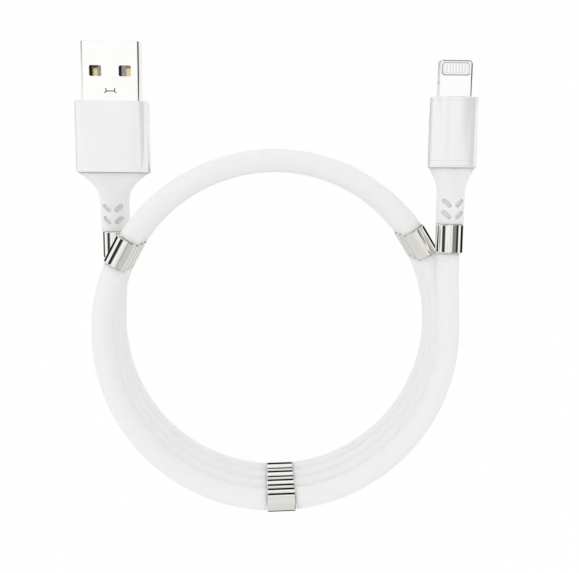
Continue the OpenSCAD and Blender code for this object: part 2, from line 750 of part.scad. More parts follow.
module phone_plug_wires() {
    at_phone() color("indianred") for (i = [0:3]) {
        side = i < 2 ? -1 : 1;
        level = i == 0 || i == 3 ? 1 : -1;
        start = [side * WIRE_BUNDLE, phone_core_end_y + seat, level * WIRE_BUNDLE];
        bend = [PHONE_WIRE_X[i], board_y, level * (BOARD_T / 2 + WIRE_R + fit)];
        wire([start, start + [0, WIRE_R, 0], bend, bend + [0, PHONE_WIRE_L, 0]]);
    }
}

cord();
coil_sleeve(1);  // magnet_sleeve_1
coil_sleeve(2);  // magnet_sleeve_2
coil_sleeve(3);  // magnet_sleeve_3
coil_sleeve(4);  // magnet_sleeve_4
coil_sleeve(5);  // magnet_sleeve_5
coil_sleeve(6);  // magnet_sleeve_6
coil_sleeve(7);  // magnet_sleeve_7
coil_sleeve(8);  // magnet_sleeve_8
coil_sleeve(9);  // magnet_sleeve_9
coil_sleeve(10);  // magnet_sleeve_10
coil_magnet(1);  // ring_magnet_1
coil_magnet(2);  // ring_magnet_2
coil_magnet(3);  // ring_magnet_3
coil_magnet(4);  // ring_magnet_4
coil_magnet(5);  // ring_magnet_5
coil_magnet(6);  // ring_magnet_6
coil_magnet(7);  // ring_magnet_7
coil_magnet(8);  // ring_magnet_8
coil_magnet(9);  // ring_magnet_9
coil_magnet(10);  // ring_magnet_10
charger_end_sleeve();
charger_end_magnet();
charger_strain_relief();
charger_plug_housing();
charger_plug_inner_mould();
charger_plug_shell();
charger_plug_insulator();
charger_plug_contacts();
charger_plug_wires();
phone_end_sleeve();
phone_end_magnet();
phone_strain_relief();
phone_plug_housing();
phone_plug_inner_mould();
phone_plug_tab();
phone_plug_insert();
phone_plug_contacts();
phone_plug_board();
phone_plug_chip();
phone_plug_capacitors();
phone_plug_wires();
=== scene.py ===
"""Looks of a self-coiling charging cable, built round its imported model.

Lengths are in metres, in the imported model's frame: the coil's axis is +Z, both plugs point along
+Y, and the table is z = 0.
"""

import bisect
import logging
import math
from collections.abc import Callable, Iterable, Sequence
from dataclasses import dataclass
from enum import Enum

import bmesh
import bpy
from mathutils import Euler, Matrix, Vector


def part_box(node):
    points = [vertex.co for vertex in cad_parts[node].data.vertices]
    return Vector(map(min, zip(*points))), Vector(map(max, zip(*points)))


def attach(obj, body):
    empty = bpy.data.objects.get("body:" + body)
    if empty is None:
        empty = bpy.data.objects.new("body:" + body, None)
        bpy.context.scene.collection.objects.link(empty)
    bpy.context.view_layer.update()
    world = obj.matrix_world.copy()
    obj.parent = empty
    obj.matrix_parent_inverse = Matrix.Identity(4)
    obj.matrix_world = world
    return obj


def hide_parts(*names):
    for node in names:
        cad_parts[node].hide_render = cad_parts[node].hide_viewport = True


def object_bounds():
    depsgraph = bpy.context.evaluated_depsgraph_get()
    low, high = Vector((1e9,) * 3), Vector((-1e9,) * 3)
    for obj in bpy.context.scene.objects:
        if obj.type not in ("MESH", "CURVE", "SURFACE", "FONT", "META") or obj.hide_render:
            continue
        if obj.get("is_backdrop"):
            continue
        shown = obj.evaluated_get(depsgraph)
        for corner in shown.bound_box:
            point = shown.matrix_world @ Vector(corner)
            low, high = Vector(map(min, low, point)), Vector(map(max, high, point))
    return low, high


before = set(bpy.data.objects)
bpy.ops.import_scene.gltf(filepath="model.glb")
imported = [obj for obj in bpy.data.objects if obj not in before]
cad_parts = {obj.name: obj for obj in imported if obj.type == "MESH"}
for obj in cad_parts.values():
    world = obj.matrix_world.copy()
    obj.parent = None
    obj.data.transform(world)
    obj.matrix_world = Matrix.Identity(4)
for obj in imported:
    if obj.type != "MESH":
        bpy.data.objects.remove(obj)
CAD_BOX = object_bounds()

MM = 0.001
ROOT = "root"
LOG = logging.getLogger("charging_cable")

SHARP = 35                  # degrees above which an edge stays sharp
SAME_PLACE = 0.0001 * MM    # points closer than this are one point
NEAR = 0.01 * MM            # lengths under this don't count
TINY = 1e-12                # keeps a length that is divided by above zero
SUPPORT = 1.2               # rims from an end to the ring that keeps a straight side straight
BORE = 1.25 * MM            # radius of the bore in which the cord's core lies
LIFT = 0.83                 # share of the charger's relief over which the cord rises

Colour = tuple[float, float, float, float]
Point = tuple[float, float]
Section = list[Vector]
Socket = bpy.types.NodeSocket


# ---- numbers and places ----


def smooth(t: float) -> float:
    """Eases t from 0 to 1 with a level start and end."""
    u = min(1.0, max(0.0, t))
    return u * u * (3 - 2 * u)


def blend(a: float, b: float, t: float) -> float:
    """The value at share t of the way from a to b."""
    return a + (b - a) * t


def middle(node: str) -> Vector:
    """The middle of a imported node's box."""
    low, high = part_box(node)
    return (low + high) / 2


def length_y(node: str) -> tuple[float, float]:
    """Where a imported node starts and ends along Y."""
    low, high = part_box(node)
    return low.y, high.y


# ---- finishes ----


def screen(red: float, green: float, blue: float) -> Colour:
    """Turns a colour given in screen values into the shader's own.

    Args:
        red, green, blue: screen values from 0 to 255.

    Returns:
        The linear colour with full opacity.
    """
    def linear(value: float) -> float:
        """One channel, by the screen's standard curve."""
        share = value / 255
        return share / 12.92 if share <= 0.04045 else ((share + 0.055) / 1.055) ** 2.4

    return linear(red), linear(green), linear(blue), 1.0


class Lay(Enum):
    """What a finish's pattern follows."""

    OBJECT = "Object"
    SURFACE = "UV"


class Graph:
    """The node tree of a material or a world."""

    def __init__(self, owner: bpy.types.Material | bpy.types.World) -> None:
        """Opens the owner's node tree."""
        owner.use_nodes = True
        self.tree = owner.node_tree

    def add(self, kind: str, **settings: object) -> bpy.types.Node:
        """Adds a node.

        Args:
            kind: the node's type.
            settings: its properties and their values.

        Returns:
            The new node.
        """
        node = self.tree.nodes.new(kind)
        for key, value in settings.items():
            setattr(node, key, value)
        return node

    def join(self, source: Socket, target: Socket) -> None:
        """Links two sockets."""
        self.tree.links.new(source, target)

    def ramp(self, factor: Socket, stops: Sequence[tuple[float, Sequence[float]]]) -> Socket:
        """Maps a factor to colours.

        Args:
            factor: the socket to map.
            stops: pairs of place and colour, in order.

        Returns:
            The ramp's colour socket.
        """
        node = self.add("ShaderNodeValToRGB")
        elements = node.color_ramp.elements
        while len(elements) < len(stops):
            elements.new(1.0)
        for element, (place, colour) in zip(elements, stops):
            element.position = place
            element.color = colour
        self.join(factor, node.inputs["Fac"])
        return node.outputs["Color"]

    def spread(self, factor: Socket, low: float, high: float,
               start: float = 0.3, end: float = 0.7) -> Socket:
        """Maps a factor evenly, and holds it at both ends.

        Args:
            factor: the socket to map.
            low, high: the values to map to.
            start, end: the factor's values that they stand for.

        Returns:
            The mapped value's socket.
        """
        node = self.add("ShaderNodeMapRange")
        for name, value in (("From Min", start), ("From Max", end),
                            ("To Min", low), ("To Max", high)):
            node.inputs[name].default_value = value
        self.join(factor, node.inputs["Value"])
        return node.outputs["Result"]

    def math(self, operation: str, *sources: Socket) -> Socket:
        """Works one sum.

        Args:
            operation: the math node's operation.
            sources: the sockets with its values, in order.

        Returns:
            The result's socket.
        """
        node = self.add("ShaderNodeMath", operation=operation)
        for source, target in zip(sources, node.inputs):
            self.join(source, target)
        return node.outputs["Value"]

    def level(self, factor: Socket, stops: Sequence[Point]) -> Socket:
        """Maps a factor to plain levels, given as pairs of place and level."""
        return self.ramp(factor, [(at, (level, level, level, 1.0)) for at, level in stops])

    def between(self, factor: Socket, first: Socket, second: Socket) -> Socket:
        """The level between two others.

        Args:
            factor: a socket that says where between them.
            first: the level at 0.
            second: the level at 1.

        Returns:
            The level's socket.
        """
        node = self.add("ShaderNodeMapRange")
        for source, name in ((factor, "Value"), (first, "To Min"), (second, "To Max")):
            self.join(source, node.inputs[name])
        return node.outputs["Result"]

    def mix(self, factor: Socket, first: Socket, second: Socket) -> Socket:
        """Mixes two shaders.

        Args:
            factor: a socket that says where between them.
            first: the shader at 0.
            second: the shader at 1.

        Returns:
            The mixed shader's socket.
        """
        node = self.add("ShaderNodeMixShader")
        for source, target in zip((factor, first, second), node.inputs):
            self.join(source, target)
        return node.outputs["Shader"]


class Board(Graph):
    """The node tree of one material, with its main shader."""

    def __init__(self, name: str) -> None:
        """Starts a material.

        Args:
            name: the material's name.
        """
        self.material = bpy.data.materials.new(name)
        super().__init__(self.material)
        self.shader = self.tree.nodes["Principled BSDF"]

    def place(self, lay: Lay, scale: Sequence[float] = (1, 1, 1)) -> Socket:
        """The coordinates that a pattern follows.

        Args:
            lay: what they are fixed to.
            scale: how far they are stretched along each axis.

        Returns:
            Their socket.
        """
        mapping = self.add("ShaderNodeMapping")
        mapping.inputs["Scale"].default_value = scale
        self.join(self.add("ShaderNodeTexCoord").outputs[lay.value], mapping.inputs["Vector"])
        return mapping.outputs["Vector"]

    def noise(self, vector: Socket, scale: float, detail: float = 3,
              roughness: float = 0.5) -> Socket:
        """Adds a noise pattern.

        Args:
            vector: the coordinates that it follows.
            scale: how many times it repeats in a metre.
            detail: how many finer layers it has.
            roughness: how strong these are.

        Returns:
            The pattern's socket.
        """
        node = self.add("ShaderNodeTexNoise")
        node.inputs["Scale"].default_value = scale
        node.inputs["Detail"].default_value = detail
        node.inputs["Roughness"].default_value = roughness
        self.join(vector, node.inputs["Vector"])
        return node.outputs["Fac"]

    def bump(self, height: Socket, depth: float) -> None:
        """Raises the main shader's surface by a pattern.

        Args:
            height: the pattern.
            depth: how far it raises the surface, in metres.
        """
        node = self.add("ShaderNodeBump")
        node.inputs["Strength"].default_value = 1.0
        node.inputs["Distance"].default_value = depth
        self.join(height, node.inputs["Height"])
        self.join(node.outputs["Normal"], self.shader.inputs["Normal"])

    def grained(self, grain: Socket, roughness: float, spread: float, depth: float) -> None:
        """Lets a fine grain vary the main shader's roughness and raise its surface.

        Args:
            grain: the pattern.
            roughness: the middle roughness.
            spread: how far the roughness goes to either side of it.
            depth: how far the grain raises the surface, in metres.
        """
        self.join(self.spread(grain, roughness - spread, roughness + spread),
                  self.shader.inputs["Roughness"])
        self.bump(grain, depth)

    def set(self, **values: object) -> None:
        """Sets sockets of the main shader, with _ for each space in their names."""
        for name, value in values.items():
            self.shader.inputs[name.replace("_", " ")].default_value = value


@dataclass(frozen=True)
class Moulding:
    """Moulded silicone or plastic: a fine grain, a faint cloudiness and a soft sheen."""

    name: str
    colour: Colour
    shade: Colour
    roughness: float = 0.45
    roughness_spread: float = 0.06
    grain: float = 0.18 * MM
    depth: float = 0.004 * MM
    cloud: float = 6 * MM
    gloss: float = 0.5
    bend: float = 1.5
    milky: float = 0.0
    reach: float = 0.6 * MM
    # where given, names the attribute whose depth in a recess darkens the colour as painted shade
    recess: str = ""
    lay: Lay = Lay.OBJECT

    def make(self) -> bpy.types.Material:
        """Builds the material.

        Returns:
            The new material.
        """
        board = Board(self.name)
        place = board.place(self.lay)
        cloud = board.noise(place, 1 / self.cloud, 2)
        grain = board.noise(place, 1 / self.grain, 4, 0.6)
        colour = board.ramp(cloud, [(0.35, self.shade), (0.65, self.colour)])
        # painted shade on the walls and the floor of each recess
        if self.recess:
            colour = self.painted_recess_shade(board, colour)
        board.join(colour, board.shader.inputs["Base Color"])
        board.grained(grain, self.roughness, self.roughness_spread, self.depth)
        board.set(Subsurface_Weight=self.milky, Subsurface_Scale=self.reach,
                  Subsurface_Radius=(1, 1, 1), Specular_IOR_Level=self.gloss, IOR=self.bend)
        return board.material

    def painted_recess_shade(self, board: Board, colour: Socket) -> Socket:
        """The colour with painted shade: darker on the walls and the floor of each recess.

        Args:
            board: the material's node tree.
            colour: the socket with the plain colour.

        Returns:
            The socket with the colour and its painted shade.
        """
        depth = board.add("ShaderNodeAttribute", attribute_name=self.recess)
        node = board.add("ShaderNodeVectorMath", operation="MULTIPLY")
        board.join(colour, node.inputs[0])
        board.join(board.level(depth.outputs["Fac"], RECESS_SHADE_LEVELS), node.inputs[1])
        return node.outputs["Vector"]


@dataclass(frozen=True)
class Metal:
    """Bare, plated or polished metal with faint smears, and fine lines along one direction."""

    name: str
    colour: Colour
    shade: Colour
    roughness: float = 0.06
    roughness_spread: float = 0.03
    smear: float = 3 * MM
    line: float = 0.12 * MM
    depth: float = 0.0004 * MM
    stretch: tuple[float, float, float] = (1, 0.08, 1)

    def make(self) -> bpy.types.Material:
        """Builds the material.

        Returns:
            The new material.
        """
        board = Board(self.name)
        smear = board.noise(board.place(Lay.OBJECT), 1 / self.smear, 3)
        lines = board.noise(board.place(Lay.OBJECT, self.stretch), 1 / self.line, 3, 0.6)
        board.join(board.ramp(smear, [(0.3, self.shade), (0.6, self.colour)]),
                   board.shader.inputs["Base Color"])
        board.join(board.spread(smear, self.roughness,
                                self.roughness + self.roughness_spread),
                   board.shader.inputs["Roughness"])
        board.bump(lines, self.depth)
        board.set(Metallic=1.0)
        return board.material


@dataclass(frozen=True)
class Insulator:
    """White moulded plastic with dark bands of painted shade along it, at these places across."""

    name: str
    middle: float
    painted_shade_bands: tuple[tuple[float, float], ...]
    colour: Colour
    shade: Colour
    half: float = 6 * MM
    edge: float = 0.06 * MM
    roughness: float = 0.35
    roughness_spread: float = 0.05
    grain: float = 0.15 * MM
    depth: float = 0.002 * MM

    def make(self) -> bpy.types.Material:
        """Builds the material.

        Returns:
            The new material.
        """
        board = Board(self.name)
        node = board.add("ShaderNodeSeparateXYZ")
        board.join(board.place(Lay.OBJECT), node.inputs["Vector"])
        across = board.spread(node.outputs["X"], 0, 1, self.middle - self.half,
                              self.middle + self.half)
        # painted shade: dark bands across the insulator, where it lies in shade under the shell
        stops = []
        for start, end in self.painted_shade_bands:
            stops += [(start - self.edge, self.colour), (start + self.edge, self.shade),
                      (end - self.edge, self.shade), (end + self.edge, self.colour)]
        stops = [((x + self.half) / (2 * self.half), colour) for x, colour in stops]
        board.join(board.ramp(across, stops), board.shader.inputs["Base Color"])
        grain = board.noise(board.place(Lay.OBJECT), 1 / self.grain, 3)
        board.grained(grain, self.roughness, self.roughness_spread, self.depth)
        return board.material


@dataclass(frozen=True)
class Wires:
    """Coloured insulation whose colour depends on which wire it is, by its place across."""

    name: str
    middle: float
    colours: tuple[Colour, ...]
    step: float
    roughness: float = 0.4
    roughness_spread: float = 0.05
    grain: float = 0.15 * MM
    depth: float = 0.003 * MM

    def make(self) -> bpy.types.Material:
        """Builds the material.

        Returns:
            The new material.
        """
        board = Board(self.name)
        node = board.add("ShaderNodeSeparateXYZ")
        board.join(board.place(Lay.OBJECT), node.inputs["Vector"])
        half = self.step * len(self.colours) / 2
        across = board.spread(node.outputs["X"], 0, 1, self.middle - half, self.middle + half)
        stops = [(i / len(self.colours), colour) for i, colour in enumerate(self.colours)]
        colour = board.ramp(across, stops)
        colour.node.color_ramp.interpolation = "CONSTANT"
        board.join(colour, board.shader.inputs["Base Color"])
        grain = board.noise(board.place(Lay.OBJECT), 1 / self.grain, 3)
        board.grained(grain, self.roughness, self.roughness_spread, self.depth)
        return board.material


RECESS = "recess"
# painted shade: the share of the colour kept at each share of a recess's depth, darkest on its
# walls
RECESS_SHADE_LEVELS = ((0.0, 1.0), (0.25, 0.66), (0.7, 0.72), (1.0, 0.97))

SILICONE = Moulding("white_silicone", screen(251, 251, 251), screen(249, 249, 249),
                    roughness=0.5, gloss=0.12, milky=1.0, reach=1.4 * MM, grain=0.25 * MM,
                    lay=Lay.SURFACE)
# its slots are darkened by painted shade, from the recess attribute
RELIEF_RUBBER = Moulding("matte_relief", screen(248, 248, 247), screen(246, 246, 245),
                         roughness=0.6, gloss=0.1, milky=1.0, reach=1.2 * MM, recess=RECESS,
                         grain=0.12 * MM, depth=0.006 * MM)
HOUSING_PLASTIC = Moulding("glossy_housing", screen(252, 252, 253), screen(250, 250, 251),
                           roughness=0.08, roughness_spread=0.03, gloss=1.0, bend=1.9,
                           milky=0.5, reach=0.4 * MM, grain=0.4 * MM, depth=0.0006 * MM)
INNER_PLASTIC = Moulding("inner_mould", screen(216, 216, 212), screen(204, 204, 200),
                         roughness=0.5, grain=0.3 * MM, depth=0.01 * MM)
WHITE_INSERT = Moulding("white_insert", screen(253, 254, 255), screen(251, 252, 254),
                        roughness=0.12, roughness_spread=0.03, gloss=1.0, bend=1.65,
                        grain=0.15 * MM, depth=0.001 * MM)
CHIP_PLASTIC = Moulding("chip_package", screen(46, 46, 48), screen(36, 36, 38),
                        roughness=0.55, grain=0.06 * MM, depth=0.006 * MM)
CERAMIC = Moulding("capacitor_ceramic", screen(176, 148, 110), screen(158, 130, 94),
                   roughness=0.45, grain=0.05 * MM, depth=0.004 * MM)
LAMINATE = Moulding("board_laminate", screen(44, 104, 66), screen(34, 88, 56),
                    roughness=0.3, grain=0.2 * MM, depth=0.004 * MM)
POLISHED_STEEL = Metal("polished_sleeve", screen(246, 245, 240), screen(241, 240, 235),
                       roughness=0.04, roughness_spread=0.02)
SHELL_STEEL = Metal("plated_shell", screen(255, 254, 252), screen(252, 251, 249),
                    roughness=0.06, roughness_spread=0.03)
TAB_STEEL = Metal("satin_tab", screen(254, 254, 255), screen(251, 251, 252),
                  roughness=0.08, roughness_spread=0.03)
GOLD_PLATE = Metal("gold_contacts", screen(240, 222, 176), screen(228, 206, 156),
                   roughness=0.2, roughness_spread=0.08, smear=0.8 * MM)
PALE_GOLD = Metal("pale_pads", screen(253, 253, 251), screen(250, 250, 248),
                  roughness=0.1, roughness_spread=0.04, smear=0.5 * MM)
MAGNET_ALLOY = Metal("magnet_alloy", screen(120, 120, 122), screen(92, 92, 95),
                     roughness=0.4, roughness_spread=0.15, smear=0.8 * MM, depth=0.004 * MM)


# ---- meshes ----


def finish_mesh(mesh: bmesh.types.BMesh, name: str, material: bpy.types.Material,
                sharp: float = SHARP) -> bpy.types.Object:
    """Turns a bmesh into a smooth-shaded object that faces outwards.

    Args:
        mesh: the bmesh, which is freed.
        name: the new object's name.
        material: its finish.
        sharp: angle in degrees above which an edge stays sharp.

    Returns:
        The new object, linked to the scene at the origin.
    """
    bmesh.ops.recalc_face_normals(mesh, faces=mesh.faces)
    data = bpy.data.meshes.new(name)
    mesh.to_mesh(data)
    mesh.free()
    data.shade_smooth()
    data.set_sharp_from_angle(angle=math.radians(sharp))
    data.materials.append(material)
    piece = bpy.data.objects.new(name, data)
    bpy.context.scene.collection.objects.link(piece)
    return piece


def wrap(sections: Sequence[Section], closed_along: bool = False) -> bmesh.types.BMesh:
    """Wraps a grid round sections that have the same number of points.

    Args:
        sections: the rings of points, in order along the piece.
        closed_along: whether the last section joins the first, as in a hollow skin.

    Returns:
        A closed surface, capped at both ends if it isn't closed along. Its UV map runs round
        the section in u and along the piece in v, in metres.
    """
    around = len(sections[0])
    rows = [*sections, sections[0]] if closed_along else list(sections)
    mesh = bmesh.new()
    bmesh.ops.create_grid(mesh, x_segments=around, y_segments=len(rows) - 1, size=1,
                          calc_uvs=True)
    mesh.verts.ensure_lookup_table()
    travelled = [0.0]
    for before, after in zip(rows, rows[1:]):
        travelled.append(travelled[-1] + (after[0] - before[0]).length)
    girth = sum((rows[0][i] - rows[0][i - 1]).length for i in range(around))
    uv = mesh.loops.layers.uv.verify()
    for face in mesh.faces:
        for loop in face.loops:
            row, column = divmod(loop.vert.index, around + 1)
            loop[uv].uv = (girth * column / around, travelled[row])
    for vert in mesh.verts:
        row, column = divmod(vert.index, around + 1)
        vert.co = rows[row][column % around]
    bmesh.ops.remove_doubles(mesh, verts=mesh.verts, dist=SAME_PLACE)
    if not closed_along:
        ends = [edge for edge in mesh.edges if edge.is_boundary]
        bmesh.ops.holes_fill(mesh, edges=ends, sides=0)
    return mesh


def rounded_rect(width: float, thick: float, radius: float, corner: int = 10) -> list[Point]:
    """Points round a rounded rectangle, the same number for each set of sizes.

    Args:
        width, thick: its outer sizes.
        radius: its corner radius.
        corner: steps round each corner.

    Returns:
        The points as x and z, counter-clockwise from the middle of the right-hand side.
    """
    radius = min(radius, width / 2, thick / 2)
    points = []
    for quarter in range(4):
        cx = (1 if quarter in (0, 3) else -1) * (width / 2 - radius)
        cz = (1 if quarter < 2 else -1) * (thick / 2 - radius)
        middles = [(width / 2, 0), (0, thick / 2), (-width / 2, 0), (0, -thick / 2)]
        points.append(middles[quarter])
        for i in range(corner + 1):
            angle = math.radians(90 * quarter + 90 * i / corner)
            points.append((cx + radius * math.cos(angle), cz + radius * math.sin(angle)))
    return points


def spaced(outline: Sequence[Point], shares: Sequence[float]) -> list[Point]:
    """Spaces points round a closed outline.

    Args:
        outline: the outline's own points, in order.
        shares: how far round each new point is, as a share of the whole way.

    Returns:
        The new points, in the shares' order.
    """
    ends = [*outline[1:], outline[0]]
    reached = [0.0]
    for start, end in zip(outline, ends):
        reached.append(reached[-1] + math.dist(start, end))
    points = []
    for share in shares:
        travel = share % 1 * reached[-1]
        i = min(bisect.bisect_right(reached, travel), len(outline)) - 1
        t = (travel - reached[i]) / max(reached[i + 1] - reached[i], TINY)
        points.append((blend(outline[i][0], ends[i][0], t), blend(outline[i][1], ends[i][1], t)))
    return points


def section_at(points: Iterable[Point], axis: Vector, y: float) -> Section:
    """Stands x and z points round an axis along Y, at y."""
    return [Vector((axis.x + x, y, axis.z + z)) for x, z in points]


def turned(profile: Sequence[Point], steps: int) -> bmesh.types.BMesh:
    """Spins a closed profile round Z.

    Args:
        profile: its points as radius and height, in order.
        steps: steps round the full turn.

    Returns:
        The turned shape.
    """
    mesh = bmesh.new()
    verts = [mesh.verts.new((radius, 0, height)) for radius, height in profile]
    edges = [mesh.edges.new((a, b)) for a, b in zip(verts, verts[1:] + verts[:1])]
    bmesh.ops.spin(mesh, geom=verts + edges, cent=(0, 0, 0), axis=(0, 0, 1),
                   angle=math.tau, steps=steps, use_merge=True, use_duplicate=False)
    bmesh.ops.remove_doubles(mesh, verts=mesh.verts, dist=SAME_PLACE)
    return mesh


def rounded_block(size: Vector, centre: Vector, upright: float,
                  steps: int = 6) -> bmesh.types.BMesh:
    """A block with rounded upright edges.

    Args:
        size: its sizes along the three axes.
        centre: where its middle is.
        upright: the radius of its four upright edges.
        steps: steps round each of them.

    Returns:
        The block.
    """
    mesh = bmesh.new()
    bmesh.ops.create_cube(mesh, size=1)
    bmesh.ops.scale(mesh, vec=size, verts=mesh.verts)
    edges = [e for e in mesh.edges if abs((e.verts[0].co - e.verts[1].co).z) > size.z / 2]
    bmesh.ops.bevel(mesh, geom=edges, offset=upright, segments=steps, profile=0.5,
                    affect="EDGES", offset_type="OFFSET", material=-1)
    bmesh.ops.translate(mesh, vec=centre, verts=mesh.verts)
    return mesh


def cut(piece: bpy.types.Object, cutters: Sequence[bmesh.types.BMesh]) -> None:
    """Cuts closed shapes out of a piece, one by one, and keeps the result as its mesh.

    Args:
        piece: the piece to cut.
        cutters: the shapes to take away, which are freed.
    """
    tools = []
    for cutter in cutters:
        data = bpy.data.meshes.new("cutter")
        bmesh.ops.recalc_face_normals(cutter, faces=cutter.faces)
        cutter.to_mesh(data)
        cutter.free()
        tool = bpy.data.objects.new("cutter", data)
        bpy.context.scene.collection.objects.link(tool)
        modifier = piece.modifiers.new("cut", "BOOLEAN")
        modifier.object = tool
        modifier.operation = "DIFFERENCE"
        modifier.solver = "EXACT"
        tools.append(tool)
    bpy.context.view_layer.update()
    made = bpy.data.meshes.new_from_object(
        piece.evaluated_get(bpy.context.evaluated_depsgraph_get()))
    piece.modifiers.clear()
    piece.data = made
    for tool in tools:
        bpy.data.objects.remove(tool)
    made.shade_smooth()
    made.set_sharp_from_angle(angle=math.radians(SHARP))


def soften(piece: bpy.types.Object, width: float = 0.05 * MM, steps: int = 2,
           angle: float = 40) -> None:
    """Rounds a piece's sharp edges a little, with even shading on its flat faces.

    Args:
        piece: the piece.
        width: how wide the rounding is.
        steps: steps across it.
        angle: angle in degrees above which an edge is rounded.
    """
    bevel = piece.modifiers.new("rounded_edges", "BEVEL")
    bevel.width = width
    bevel.segments = steps
    bevel.limit_method = "ANGLE"
    bevel.angle_limit = math.radians(angle)
    piece.modifiers.new("even_shading", "WEIGHTED_NORMAL").keep_sharp = True


def seat(piece: bpy.types.Object, node: str) -> None:
    """Rides a piece on the cable in place of its node.

    Args:
        piece: the piece.
        node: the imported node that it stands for.
    """
    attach(piece, ROOT)
    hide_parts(node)


# ---- camera ----


@dataclass(frozen=True)
class Viewpoint:
    """The camera above the coil, turned a little from straight down."""

    place: tuple[float, float, float] = (-1.475 * MM, 19.41 * MM, 170.70 * MM)
    tilt: float = -7.59
    lean: float = -1.99
    roll: float = 0.51
    lens: float = 47.876
    sensor: float = 36.0
    near: float = 5 * MM
    far: float = 20

    def make(self) -> None:
        """Sets up the scene's camera."""
        data = bpy.data.cameras.new("camera")
        data.lens = self.lens
        data.sensor_width = self.sensor
        data.clip_start = self.near
        data.clip_end = self.far
        camera = bpy.data.objects.new("camera", data)
        turn = (Matrix.Rotation(math.radians(self.roll), 4, "Z")
                @ Matrix.Rotation(math.radians(self.lean), 4, "Y")
                @ Matrix.Rotation(math.radians(self.tilt), 4, "X"))
        camera.matrix_world = Matrix.Translation(self.place) @ turn
        bpy.context.scene.collection.objects.link(camera)
        bpy.context.scene.camera = camera


# ---- cord ----


@dataclass(frozen=True)
class Ring:
    """One section of the cord: its middle, the bearing of its plane, and its radius."""

    middle: Vector
    bearing: float
    radius: float

    def points(self, sides: int) -> Section:
        """Points round the section, in the plane of its bearing and Z.

        Args:
            sides: how many.

        Returns:
            The points, in order.
        """
        out = Vector((math.cos(math.radians(self.bearing)),
                      math.sin(math.radians(self.bearing)), 0))
        up = Vector((0, 0, 1))
        return [self.middle + self.radius * (math.cos(a) * out + math.sin(a) * up)
                for a in (math.tau * i / sides for i in range(sides))]


